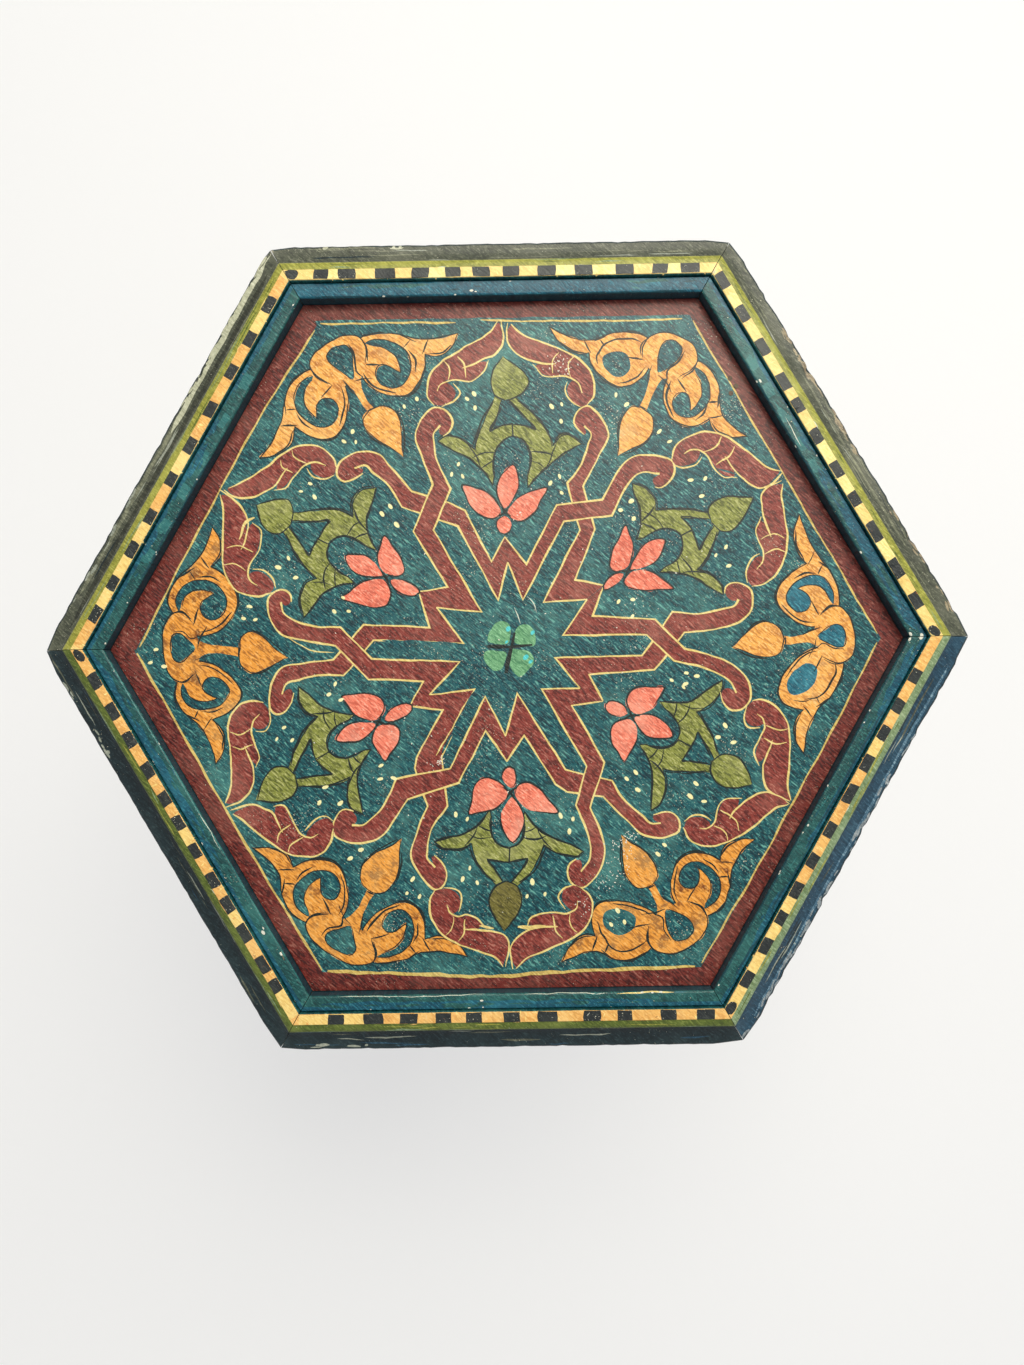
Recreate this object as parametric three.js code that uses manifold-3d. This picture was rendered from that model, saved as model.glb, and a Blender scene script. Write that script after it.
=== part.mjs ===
// Hexagonal painted stool: a sunk, moulded hexagonal top on six arched side boards.
// Millimetres, +Z up. The origin is on the floor under the middle of the top.
// Two corners of the hexagon lie on the X axis, and side 1 faces +Y.
import * as THREE from 'three';
import { mergeVertices } from 'three/addons/utils/BufferGeometryUtils.js';
import Module from 'manifold-3d';

const wasm = await Module();
wasm.setup();

// Hexagon
const sides = 6;
const sideAngle = (2 * Math.PI) / sides;
const tanHalf = Math.tan(sideAngle / 2);
const cosHalf = Math.cos(sideAngle / 2);
const sinHalf = Math.sin(sideAngle / 2);

// Overall
const stoolHeight = 440;
const topAcrossFlats = 388;
const fitGap = 0.3; // left between pieces that touch
const mitreGap = 0.17; // taken off each end of a mitred length, square to the hexagon's spoke
const cutOverrun = 2; // how far a cutter runs past the surface that it opens

// Rim moulding, widths counted inwards from the outer edge
const lipWidth = 2.2;
const coveWidth = 8.3;
const beadWidth = 4.1;
const checkerWidth = 5.2;
const lipDrop = 7.6; // lip below the top of the rim
const coveDrop = 2.8; // top of the cove below the top of the rim
const beadLow = 2.2; // foot of the bead below the top of the rim
const beadHigh = 0.5; // crown of the bead below the top of the rim
const lipRound = 1.2;
const rimFootRound = 3;

// Fillet between the rim and the panel
const filletWidth = 7.6;
const filletDrop = 2.5; // below the top of the rim
const filletRound = 1.2;

// Top panel
const panelThickness = 12;
const recessDepth = 10.5; // panel face below the top of the rim
const rebateDepth = 2;
const tongueThickness = 4;
const tongueDepth = 5;
const tongueRise = 3.5; // above the underside of the panel

// Side boards and their arches
const rimOverhang = 29; // rim edge out from the face of the boards
const boardThickness = 12;
const archHalfWidth = 54; // between the jambs
const archBulge = 10; // how far the arch swells past each jamb
const archPointOffset = 14; // each arc's centre past the middle line
const archCentreHeight = 250;
const archTipHalfWidth = 5;
const archTipRise = 9;

// Glue blocks, cleats and neck moulding
const blockLeg = 22;
const blockFoot = 8; // clear of the floor
const cleatWidth = 16;
const cleatHeight = 18;
const neckWidth = 14;
const neckHeight = 16;
const neckFoot = 3;
const neckLip = 3;

// Screws through the cleats
const screwInset = 25; // from the cleat's end
const screwBite = 8; // into the panel
const screwHeadRadius = 3.4;
const screwShankRadius = 1.7;
const screwHeadHeight = 2.4;
const screwTipLength = 3;
const screwSlotWidth = 0.8;
const screwSlotDepth = 1.1;
const screwSides = 12;

// Nails through the panel into side board 2
const pinBoard = 2;
const pinHeadRadius = 1.2;
const pinHeadHeight = 0.8;
const pinShankRadius = 0.8;
const pinLength = 30;
const pinProud = 0.3;
const pinTipLength = 2;
const pinSides = 10;
const pinDepthShares = [0.47, 0.43, 0.75]; // of the board's thickness, from its outer face
const pinAlongShares = [-0.575, -0.525, -0.507]; // of the board's half width, from its middle

// Fineness of the curves
const sweepSteps = 7;
const archSteps = 12;

// Places worked out from the sizes
const rimTop = stoolHeight;
const rimOuter = topAcrossFlats / 2;
const coveOuter = rimOuter - lipWidth;
const coveInner = coveOuter - coveWidth;
const beadInner = coveInner - beadWidth;
const rimInner = beadInner - checkerWidth;
const recessApothem = rimInner - filletWidth;
const panelTop = rimTop - recessDepth;
const panelUnder = panelTop - panelThickness;
const tongueBottom = panelUnder + tongueRise;
const tongueTop = tongueBottom + tongueThickness;
const rebateFloor = panelTop - rebateDepth;
const boardOuter = rimOuter - rimOverhang;
const boardInner = boardOuter - boardThickness;
const boardTop = panelUnder - fitGap;
const boardHalfWidth = boardOuter * tanHalf;
const blockCorner = (boardInner - fitGap) / cosHalf;
const cleatOuter = boardInner - fitGap;
const cleatInner = cleatOuter - cleatWidth;
const cleatHalfLength = cleatOuter * tanHalf - blockLeg - fitGap;
const cleatBottom = boardTop - cleatHeight;
const screwLength = cleatHeight + fitGap + screwBite;
const screwAlong = cleatHalfLength - screwInset;
const screwOut = (cleatInner + cleatOuter) / 2;

// Colours
const checkerCream = 0xe8bc72;
const filletTeal = 0x1f5d6a;
const fieldTeal = 0x215c5c;
const coveNavy = 0x22303a;
const rawPine = 0xb08a5c;
const agedSteel = 0x6d6a63;

const stool = new THREE.Group();

function addPiece(name, geometry, colour, metalness, roughness) {
  const material = new THREE.MeshStandardMaterial({ color: colour, metalness, roughness });
  const mesh = new THREE.Mesh(geometry, material);
  mesh.name = name;
  stool.add(mesh);
}

function addWood(name, geometry, colour) {
  addPiece(name, geometry, colour, 0, 0.55);
}

function addSteel(name, geometry) {
  addPiece(name, geometry, agedSteel, 0.8, 0.45);
}

// A closed geometry as a solid that can be cut, and back again
function toSolid(geometry) {
  const bare = geometry.clone();
  bare.deleteAttribute('normal');
  bare.deleteAttribute('uv');
  const merged = mergeVertices(bare);
  const vertProperties = new Float32Array(merged.attributes.position.array);
  const triVerts = new Uint32Array(merged.index.array);
  return new wasm.Manifold(new wasm.Mesh({ numProp: 3, vertProperties, triVerts }));
}

function toGeometry(solid) {
  const mesh = solid.getMesh();
  const geometry = new THREE.BufferGeometry();
  geometry.setAttribute('position', new THREE.BufferAttribute(new Float32Array(mesh.vertProperties), 3));
  geometry.setIndex(new THREE.BufferAttribute(new Uint32Array(mesh.triVerts), 1));
  geometry.computeVertexNormals();
  return geometry;
}

function cut(geometry, cutters) {
  let solid = toSolid(geometry);
  for (const cutter of cutters) {
    solid = solid.subtract(toSolid(cutter));
  }
  return toGeometry(solid);
}

// Turned about +Z: the profile [radius, height] runs up from the axis and back to it
function turned(profile, segments, startAngle) {
  const points = profile.map(([radius, height]) => new THREE.Vector2(radius, height));
  const geometry = new THREE.LatheGeometry(points, segments, startAngle, 2 * Math.PI);
  return geometry.rotateX(Math.PI / 2);
}

// Quarter ellipses between two profile points, without the first point
function flatThenSteep([r0, z0], [r1, z1]) {
  const points = [];
  for (let step = 1; step <= sweepSteps; step += 1) {
    const turn = (Math.PI / 2) * (step / sweepSteps);
    points.push([r0 + (r1 - r0) * Math.sin(turn), z0 + (z1 - z0) * (1 - Math.cos(turn))]);
  }
  return points;
}

function steepThenFlat([r0, z0], [r1, z1]) {
  const points = [];
  for (let step = 1; step <= sweepSteps; step += 1) {
    const turn = (Math.PI / 2) * (step / sweepSteps);
    points.push([r0 + (r1 - r0) * (1 - Math.cos(turn)), z0 + (z1 - z0) * Math.sin(turn)]);
  }
  return points;
}

// A mitred length on side 1: the profile [distance from the centre line, height] runs
// anticlockwise with the distance to the right, and both ends lie along the hexagon's spokes
function mitredLength(profile) {
  const count = profile.length;
  const positions = [];
  for (const [out, height] of profile) {
    const half = out * tanHalf - mitreGap;
    positions.push(-half, out, height);
    positions.push(half, out, height);
  }
  const index = [];
  for (let here = 0; here < count; here += 1) {
    const next = (here + 1) % count;
    index.push(2 * here, 2 * next, 2 * here + 1);
    index.push(2 * next, 2 * next + 1, 2 * here + 1);
  }
  const contour = profile.map(([out, height]) => new THREE.Vector2(out, height));
  for (const [a, b, c] of THREE.ShapeUtils.triangulateShape(contour, [])) {
    index.push(2 * a, 2 * c, 2 * b);
    index.push(2 * a + 1, 2 * b + 1, 2 * c + 1);
  }
  const geometry = new THREE.BufferGeometry();
  geometry.setAttribute('position', new THREE.Float32BufferAttribute(positions, 3));
  geometry.setIndex(index);
  geometry.computeVertexNormals();
  return geometry;
}

// Turns a geometry made for side 1 to the numbered side, clockwise seen from above
function toSide(geometry, side) {
  return geometry.rotateZ(-sideAngle * (side - 1));
}

function rimProfile() {
  const lipTop = rimTop - lipDrop;
  return [
    [rimInner, panelUnder],
    [rimOuter - rimFootRound, panelUnder],
    ...flatThenSteep([rimOuter - rimFootRound, panelUnder], [rimOuter, panelUnder + rimFootRound]),
    [rimOuter, lipTop - lipRound],
    ...steepThenFlat([rimOuter, lipTop - lipRound], [rimOuter - lipRound, lipTop]),
    [coveOuter, lipTop],
    ...flatThenSteep([coveOuter, lipTop], [coveInner, rimTop - coveDrop]),
    [coveInner, rimTop - beadLow],
    ...steepThenFlat([coveInner, rimTop - beadLow], [beadInner, rimTop - beadHigh]),
    [beadInner, rimTop],
    [rimInner, rimTop],
    [rimInner, tongueTop + fitGap],
    [rimInner + tongueDepth, tongueTop + fitGap],
    [rimInner + tongueDepth, tongueBottom - fitGap],
    [rimInner, tongueBottom - fitGap],
  ];
}

function filletProfile() {
  const outer = rimInner - fitGap;
  const bottom = rebateFloor + fitGap;
  const top = rimTop - filletDrop;
  return [
    [recessApothem, bottom],
    [outer, bottom],
    [outer, top],
    [recessApothem + filletRound, top],
    ...flatThenSteep([recessApothem + filletRound, top], [recessApothem, top - filletRound]),
  ];
}

function neckProfile() {
  const inner = boardOuter + fitGap;
  const top = panelUnder - fitGap;
  const bottom = top - neckHeight;
  return [
    [inner, bottom],
    [inner + neckFoot, bottom],
    ...steepThenFlat([inner + neckFoot, bottom], [inner + neckWidth, top - neckLip]),
    [inner + neckWidth, top],
    [inner, top],
  ];
}

function cleatProfile() {
  return [
    [cleatInner, cleatBottom],
    [cleatOuter, cleatBottom],
    [cleatOuter, boardTop],
    [cleatInner, boardTop],
  ];
}

// Screws stand head down: the profile starts at the head's flat
function screwProfile(extra) {
  return [
    [0, 0 - extra],
    [screwHeadRadius + extra, 0 - extra],
    [screwHeadRadius + extra, 0],
    [screwShankRadius + extra, screwHeadHeight],
    [screwShankRadius + extra, screwLength - screwTipLength + extra],
    [0, screwLength + extra],
  ];
}

function screwBody() {
  const profile = screwProfile(0).filter((point, place) => place !== 2);
  const slot = new THREE.BoxGeometry(2 * (screwHeadRadius + cutOverrun), screwSlotWidth, 2 * screwSlotDepth);
  return cut(turned(profile, screwSides, 0), [slot]);
}

function screwCutter() {
  return turned(screwProfile(fitGap), screwSides, 0);
}

function placeScrew(geometry, side, hand) {
  geometry.translate(hand * screwAlong, screwOut, cleatBottom);
  return toSide(geometry, side);
}

// Nails hang from their heads: heights are counted from the head's flat
function pinProfile(extra) {
  const headBottom = -pinHeadHeight - extra;
  const tip = headBottom - pinLength;
  return [
    [0, tip],
    [pinShankRadius + extra, tip + pinTipLength],
    [pinShankRadius + extra, headBottom],
    [pinHeadRadius + extra, headBottom],
    [pinHeadRadius + extra, extra],
    [0, extra],
  ];
}

function placePin(geometry, number) {
  const along = pinAlongShares[number] * boardHalfWidth;
  const out = boardOuter - pinDepthShares[number] * boardThickness;
  geometry.translate(along, out, panelTop + pinProud);
  return toSide(geometry, pinBoard);
}

function pinCutters() {
  return pinDepthShares.map((share, number) => placePin(turned(pinProfile(fitGap), pinSides, 0), number));
}

function screwCutters() {
  const cutters = [];
  for (let side = 1; side <= sides; side += 1) {
    for (const hand of [-1, 1]) {
      cutters.push(placeScrew(screwCutter(), side, hand));
    }
  }
  return cutters;
}

function panelBody() {
  const edge = rimInner - fitGap;
  const tongueTip = rimInner + tongueDepth - fitGap;
  const face = recessApothem - fitGap;
  const outline = [
    [0, panelUnder],
    [edge, panelUnder],
    [edge, tongueBottom],
    [tongueTip, tongueBottom],
    [tongueTip, tongueTop],
    [edge, tongueTop],
    [edge, rebateFloor],
    [face, rebateFloor],
    [face, panelTop],
    [0, panelTop],
  ];
  const corners = outline.map(([apothem, height]) => [apothem / cosHalf, height]);
  return cut(turned(corners, sides, sideAngle / 2), [...screwCutters(), ...pinCutters()]);
}

// Outline of a side board seen from outside, its arch open at the floor
function boardOutline() {
  const radius = archHalfWidth + archBulge + archPointOffset;
  const springAngle = -Math.acos((archHalfWidth + archPointOffset) / radius);
  const tipAngle = Math.acos((archTipHalfWidth + archPointOffset) / radius);
  const springHeight = archCentreHeight + radius * Math.sin(springAngle);
  const tipFoot = archCentreHeight + radius * Math.sin(tipAngle);
  const tipKnee = tipFoot + archTipHalfWidth / Math.tan(tipAngle);
  const apex = tipFoot + archTipRise;
  const shape = new THREE.Shape();
  shape.moveTo(archHalfWidth, 0);
  shape.lineTo(boardHalfWidth, 0);
  shape.lineTo(boardHalfWidth, boardTop);
  shape.lineTo(-boardHalfWidth, boardTop);
  shape.lineTo(-boardHalfWidth, 0);
  shape.lineTo(-archHalfWidth, 0);
  shape.lineTo(-archHalfWidth, springHeight);
  shape.absarc(archPointOffset, archCentreHeight, radius, Math.PI - springAngle, Math.PI - tipAngle, true);
  shape.quadraticCurveTo(0, tipKnee, 0, apex);
  shape.quadraticCurveTo(0, tipKnee, archTipHalfWidth, tipFoot);
  shape.absarc(-archPointOffset, archCentreHeight, radius, tipAngle, springAngle, true);
  return shape;
}

// The outline is extruded inwards from the outer face, then its two long edges are mitred
function boardBody() {
  const geometry = new THREE.ExtrudeGeometry(boardOutline(), {
    depth: boardThickness,
    curveSegments: archSteps,
    bevelEnabled: false,
  });
  geometry.rotateX(Math.PI / 2);
  geometry.translate(0, boardOuter, 0);
  const position = geometry.attributes.position;
  for (let point = 0; point < position.count; point += 1) {
    const along = position.getX(point);
    if (Math.abs(along) > boardHalfWidth - mitreGap) {
      position.setX(point, Math.sign(along) * (position.getY(point) * tanHalf - mitreGap));
    }
  }
  return geometry;
}

// A glue block in the corner clockwise of side 1, with its two legs along the boards
function blockBody() {
  const shape = new THREE.Shape();
  shape.moveTo(0, blockCorner);
  shape.lineTo(-blockLeg * cosHalf, blockCorner - blockLeg * sinHalf);
  shape.lineTo(blockLeg * cosHalf, blockCorner - blockLeg * sinHalf);
  const geometry = new THREE.ExtrudeGeometry(shape, { depth: boardTop - blockFoot, bevelEnabled: false });
  geometry.translate(0, 0, blockFoot);
  return geometry.rotateZ(-sideAngle / 2);
}

// A square-ended cleat: a mitred length whose ends are brought in to the glue blocks
function cleatBody() {
  const geometry = mitredLength(cleatProfile());
  const position = geometry.attributes.position;
  for (let point = 0; point < position.count; point += 1) {
    position.setX(point, Math.sign(position.getX(point)) * cleatHalfLength);
  }
  const bothScrews = [-1, 1].map((hand) => placeScrew(screwCutter(), 1, hand));
  return cut(geometry, bothScrews);
}

addWood('top_panel', panelBody(), fieldTeal);

for (let side = 1; side <= sides; side += 1) {
  addWood(`rim_moulding_${side}`, toSide(mitredLength(rimProfile()), side), checkerCream);
  addWood(`rim_fillet_${side}`, toSide(mitredLength(filletProfile()), side), filletTeal);
  const board = toSide(boardBody(), side);
  const nailed = side === pinBoard ? cut(board, pinCutters()) : board;
  addWood(`side_board_${side}`, nailed, fieldTeal);
  addWood(`neck_moulding_${side}`, toSide(mitredLength(neckProfile()), side), coveNavy);
  addWood(`corner_block_${side}`, toSide(blockBody(), side), rawPine);
  addWood(`top_cleat_${side}`, toSide(cleatBody(), side), rawPine);
  addSteel(`cleat_screw_${side}a`, placeScrew(screwBody(), side, -1));
  addSteel(`cleat_screw_${side}b`, placeScrew(screwBody(), side, 1));
}

pinDepthShares.forEach((share, number) => {
  const pin = placePin(turned(pinProfile(0), pinSides, 0), number);
  addSteel(`top_pin_${number + 1}`, pin);
});

export default stool;
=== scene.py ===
"""A painted six-sided kursi stool: a sunk panel in a mitred rim, on six arched side boards.

The boards, mouldings and panel are made here in finer meshes than the frame's, with every painted
shape cut into the mesh and given its own paint. Cleats, glue blocks, screws and nails are the frame's.
Plan sizes are in millimetres until a mesh is written.
"""
import functools
import math
import random

import bmesh
import bpy
import numpy as np
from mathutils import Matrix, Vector
from mathutils.geometry import delaunay_2d_cdt


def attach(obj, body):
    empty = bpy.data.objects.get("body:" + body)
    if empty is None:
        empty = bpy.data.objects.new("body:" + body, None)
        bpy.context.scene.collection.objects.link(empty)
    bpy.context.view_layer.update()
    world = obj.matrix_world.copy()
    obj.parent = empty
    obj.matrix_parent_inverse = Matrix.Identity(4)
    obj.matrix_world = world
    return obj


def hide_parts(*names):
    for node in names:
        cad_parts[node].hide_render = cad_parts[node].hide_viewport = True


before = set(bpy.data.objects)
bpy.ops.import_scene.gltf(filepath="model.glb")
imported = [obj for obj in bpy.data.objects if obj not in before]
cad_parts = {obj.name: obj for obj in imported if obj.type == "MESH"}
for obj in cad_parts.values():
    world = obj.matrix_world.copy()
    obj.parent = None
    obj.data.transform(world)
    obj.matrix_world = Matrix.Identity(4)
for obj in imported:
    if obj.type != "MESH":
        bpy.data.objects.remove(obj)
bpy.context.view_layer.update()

MM = 0.001
SIDE_ANGLES = (90, 30, -30, -90, -150, 150)  # sides 1 to 6, clockwise seen from above
CORNER_ANGLES = (60, 0, -60, -120, 180, 120)  # corner k comes clockwise after side k
TAN30 = math.tan(math.radians(30))
COS30 = math.cos(math.radians(30))

# Sizes shared with the frame
RIM_TOP = 440
RIM_OUTER = 194
COVE_OUTER = 191.8
COVE_INNER = 183.5
BEAD_INNER = 179.4
RIM_INNER = 174.2
RECESS = 166.6
PANEL_TOP = 429.5
PANEL_UNDER = 417.5
TONGUE_BOTTOM = 421
TONGUE_TOP = 425
TONGUE_TIP = 178.9
FIT_GAP = 0.3
MITRE_GAP = 0.17
BOARD_OUTER = 165
BOARD_INNER = 153
BOARD_TOP = 417.2
ARCH_HALF_WIDTH = 54
ARCH_RADIUS = 78
ARCH_POINT_OFFSET = 14
ARCH_CENTRE_HEIGHT = 250
ARCH_TIP_HALF_WIDTH = 5
ARCH_TIP_RISE = 9
NECK_HEIGHT = 16
NECK_WIDTH = 14

# Sizes of this script's own
GROOVE_DEPTH = 5  # of the rim's groove for the panel's tongue
BEAD_TOP = RIM_TOP - 0.5
BEAD_FOOT = RIM_TOP - 2.2
COVE_TOP = RIM_TOP - 2.8
LIP_TOP = RIM_TOP - 7.6
LIP_ROUND = 1.2
RIM_FOOT_ROUND = 3
REBATE = 2  # how far the panel's edge is let down for the fillet
PANEL_EDGE = RECESS - FIT_GAP
FILLET_TOP = RIM_TOP - 2.5
FILLET_ROUND = 1.2
CHAMFER = 0.8
LINE = 0.85  # width of a cream line
INK = 0.9  # width of a dark outline
STROKE_FADE = 4  # how far from its tips a stroke reaches its full width
CRISP_ANGLE = 35  # edges sharper than this stay crisp, in degrees
MERGED_WITHIN = 0.004  # corners nearer than this become one
WAVE_TURN = 6.28  # a full turn of a wave
SHEET_STIFFNESS = 20  # how far a drawing resists being bent to its landmarks

hand = random.Random(11)  # the painter's unsteadiness


# Lines and shapes
def smooth(points, step=1.7):
    """Points every step along a curve through the given ones; a closed curve repeats its first point."""
    given = np.array(points, float)
    closed = np.allclose(given[0], given[-1])
    if closed:
        given = given[:-1]
    count = len(given)
    curve = []
    for i in range(count if closed else count - 1):
        here, there = given[i], given[(i + 1) % count]
        before = given[i - 1] if closed or i else 2 * here - there
        after = given[(i + 2) % count] if closed or i + 2 < count else 2 * there - here
        d0, d1, d2 = (max(1e-6, np.linalg.norm(end - start)) ** 0.5
                      for start, end in ((before, here), (here, there), (there, after)))
        slope0 = ((here - before) / d0 - (there - before) / (d0 + d1) + (there - here) / d1) * d1
        slope1 = ((there - here) / d1 - (after - here) / (d1 + d2) + (after - there) / d2) * d1
        pieces = max(1, round(d1 * d1 / step))
        for t in np.arange(pieces) / pieces:
            curve.append(
                (2 * t**3 - 3 * t**2 + 1) * here
                + (t**3 - 2 * t**2 + t) * slope0
                + (3 * t**2 - 2 * t**3) * there
                + (t**3 - t**2) * slope1
            )
    if not closed:
        curve.append(given[-1])
    return np.array(curve)


def straight(points, step=5):
    """The same corners, with points between them for the hand to wander."""
    given = np.array(points, float)
    line = [given[0]]
    for here, there in zip(given, given[1:]):
        pieces = max(1, round(np.linalg.norm(there - here) / step))
        line.extend(here + (there - here) * k / pieces for k in range(1, pieces + 1))
    return np.array(line)


def level(left, right, height):
    """A long level line for the hand to wander along."""
    return straight([(left, height), (right, height)], 6)


def rectangle(left, right, low, high, step):
    """A closed rectangle with points along its edges."""
    return straight([(left, low), (right, low), (right, high), (left, high), (left, low)], step)[:-1]


def joined(*runs):
    """Runs one after another, each starting where the last one ends."""
    line = np.asarray(runs[0], float)
    for run in runs[1:]:
        run = np.asarray(run, float)
        same = np.linalg.norm(run[0] - line[-1]) < 0.01
        line = np.vstack((line, run[1:] if same else run))
    return line


def mirrored(points):
    return np.asarray(points, float) * (-1, 1)


def shifted(points, offset):
    return np.asarray(points, float) + offset


def spun(points, tilt):
    """Points turned anticlockwise about the origin."""
    c, s = math.cos(math.radians(tilt)), math.sin(math.radians(tilt))
    return points @ np.array(((c, s), (-s, c)))


def warped(points, landmarks, places):
    """Points carried along as the landmarks move to their places, like a drawing on a sheet bent to fit."""
    landmarks = np.asarray(landmarks, float)

    def rows(where):
        apart = ((where[:, None] - landmarks) ** 2).sum(axis=2)
        return np.hstack((apart * np.log(apart + 1e-9), np.ones((len(where), 1)), where))

    count = len(landmarks)
    system = np.zeros((count + 3, count + 3))
    system[:count] = rows(landmarks)
    system[:count, :count] += SHEET_STIFFNESS * np.eye(count)
    system[count:, :count] = system[:count, count:].T
    goal = np.vstack((places, np.zeros((3, 2))))
    return rows(np.asarray(points, float)) @ np.linalg.solve(system, goal)


def turned(points, angle):
    """From a sector's own frame (to the right, outwards) to the plan."""
    turn = math.radians(angle)
    points = np.asarray(points, float)
    right = np.array((math.sin(turn), -math.cos(turn)))
    out = np.array((math.cos(turn), math.sin(turn)))
    return points[:, :1] * right + points[:, 1:] * out


def carrier(marks, places, angle):
    """Carries a motif's points: bent from its marks to the places measured for them, then turned."""
    return lambda points: turned(warped(points, marks, places), angle)


def hexagon(apothem):
    """Corners of the hexagon whose sides lie that far out, clockwise."""
    return np.vstack([turned([(0, apothem / COS30)], angle) for angle in CORNER_ANGLES])


def near(values, place, width):
    """1 at a place, fading to 0 beyond the width."""
    return np.exp(-(((values - place) / width) ** 2))


def waves(x, seed, *lengths):
    """A smooth uneven run between -1 and 1 along x."""
    phases = random.Random(seed)
    total = sum(np.sin(WAVE_TURN * x / length + phases.uniform(0, WAVE_TURN)) for length in lengths)
    return total / len(lengths)


def unsteady(points, amount=0.22):
    """The slight waver of a brush held in the hand."""
    points = np.asarray(points, float)
    waver = np.zeros_like(points)
    for wave_length in (23, 11, 6):
        angle = hand.uniform(0, WAVE_TURN)
        along = points @ np.array((math.cos(angle), math.sin(angle)))
        phase = hand.uniform(0, WAVE_TURN)
        size = amount * (wave_length / 23) ** 0.5
        waver[:, 0] += size * np.sin(WAVE_TURN * along / wave_length + phase)
        waver[:, 1] += size * np.sin(WAVE_TURN * along / wave_length + phase + 2)
    return points + waver


def side_normals(line):
    """Sideways directions along a line, longer where it bends so that a stroke keeps its width."""
    step = np.diff(line, axis=0)
    step /= np.maximum(np.linalg.norm(step, axis=1), 1e-6)[:, None]
    sideways = np.stack((-step[:, 1], step[:, 0]), axis=1)
    before = np.vstack((sideways[:1], sideways))
    after = np.vstack((sideways, sideways[-1:]))
    middle = before + after
    middle /= np.maximum(np.linalg.norm(middle, axis=1), 0.2)[:, None]
    return middle / np.maximum((middle * before).sum(axis=1), 0.62)[:, None]


def stroke(line, width, start, end):
    """Outline of one brush stroke: start and end are the shares of the width left at its tips."""
    line = np.asarray(line, float)
    run = np.concatenate(([0], np.cumsum(np.linalg.norm(np.diff(line, axis=0), axis=1))))
    fade = min(STROKE_FADE, run[-1] / 2.5)
    share = start + (1 - start) * np.minimum(1, run / fade)
    share = share * (end + (1 - end) * np.minimum(1, (run[-1] - run) / fade))
    phase = hand.uniform(0, WAVE_TURN)
    share = share * (1 + 0.16 * np.sin(run / 2.9 + phase) + 0.16 * np.sin(run / 7.7 + 2 * phase))
    half = side_normals(line) * (share * width / 2)[:, None]
    return np.vstack((line + half, (line - half)[::-1]))


def oval(centre, half_width, half_height, tilt=0.0, points=10):
    turns = np.arange(points) * 2 * math.pi / points
    ring = np.stack((half_width * np.cos(turns), half_height * np.sin(turns)), axis=1)
    return spun(ring, tilt) + centre


class Design:
    """Painted shapes in the order they were laid on; a later one covers an earlier one."""

    def __init__(self):
        self.shapes = []
        self.creases = []

    def fill(self, outline, paint, waver=0.22):
        self.shapes.append((unsteady(outline, waver) if waver else np.asarray(outline, float), paint))

    def line(self, points, paint, width, start=0.35, end=0.35, waver=0.18):
        self.fill(stroke(unsteady(points, waver), width, start, end), paint, 0)

    def ink(self, points, share=1.0, start=0.3, end=0.3):
        """A dark outline, as a share of the usual width."""
        self.line(points, "ink", INK * share, start, end)

    def outlined(self, shape, paint, share, tips=0.3):
        """A shape and the dark outline round it."""
        self.fill(shape, paint)
        self.ink(shape, share, tips, tips)

    def dot(self, place, half_width, half_height, waver=0.1, tilt=40):
        """A cream dab, tilted either way by chance."""
        self.fill(oval(place, half_width, half_height, hand.uniform(-tilt, tilt)), "dot_cream", waver)

    def opening(self, outline):
        """Nothing is left within this outline."""
        self.shapes.append((np.asarray(outline, float), None))

    def crease(self, points):
        """A line that cuts the shapes but carries no paint."""
        self.creases.append(np.asarray(points, float))


def covers(outline, points):
    """Which points lie within an outline."""
    x, y = points[:, :1], points[:, 1:]
    x0, y0 = outline[:, 0], outline[:, 1]
    x1, y1 = np.roll(x0, -1), np.roll(y0, -1)
    turn = (x1 - x0) * (y - y0) - (x - x0) * (y1 - y0)
    upward = (y0 <= y) & (y1 > y) & (turn > 0)
    downward = (y0 > y) & (y1 <= y) & (turn < 0)
    return upward.sum(axis=1) != downward.sum(axis=1)


def cut_up(design):
    """The design as flat triangles: points, corner numbers and the paint on top of each."""
    points = []
    edges = []
    for outline, _ in design.shapes:
        first, count = len(points), len(outline)
        points.extend(Vector(p) for p in outline)
        edges.extend((first + k, first + (k + 1) % count) for k in range(count))
    for crease in design.creases:
        first = len(points)
        points.extend(Vector(p) for p in crease)
        edges.extend((first + k, first + k + 1) for k in range(len(crease) - 1))
    found = delaunay_2d_cdt(points, edges, [], 0, 0.01)
    places = np.array([tuple(p) for p in found[0]])
    triangles = np.array([tuple(f) for f in found[2]])
    middles = places[triangles].mean(axis=1)
    top = np.full(len(triangles), -1)
    for number, (outline, _) in enumerate(design.shapes):
        low, high = outline.min(axis=0), outline.max(axis=0)
        close = np.flatnonzero(((middles >= low) & (middles <= high)).all(axis=1))
        if len(close):
            top[close[covers(outline, middles[close])]] = number
    paints = [design.shapes[number][1] if number >= 0 else None for number in top]
    kept = [paint is not None for paint in paints]
    return places, triangles[kept].tolist(), [paint for paint in paints if paint]


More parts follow.
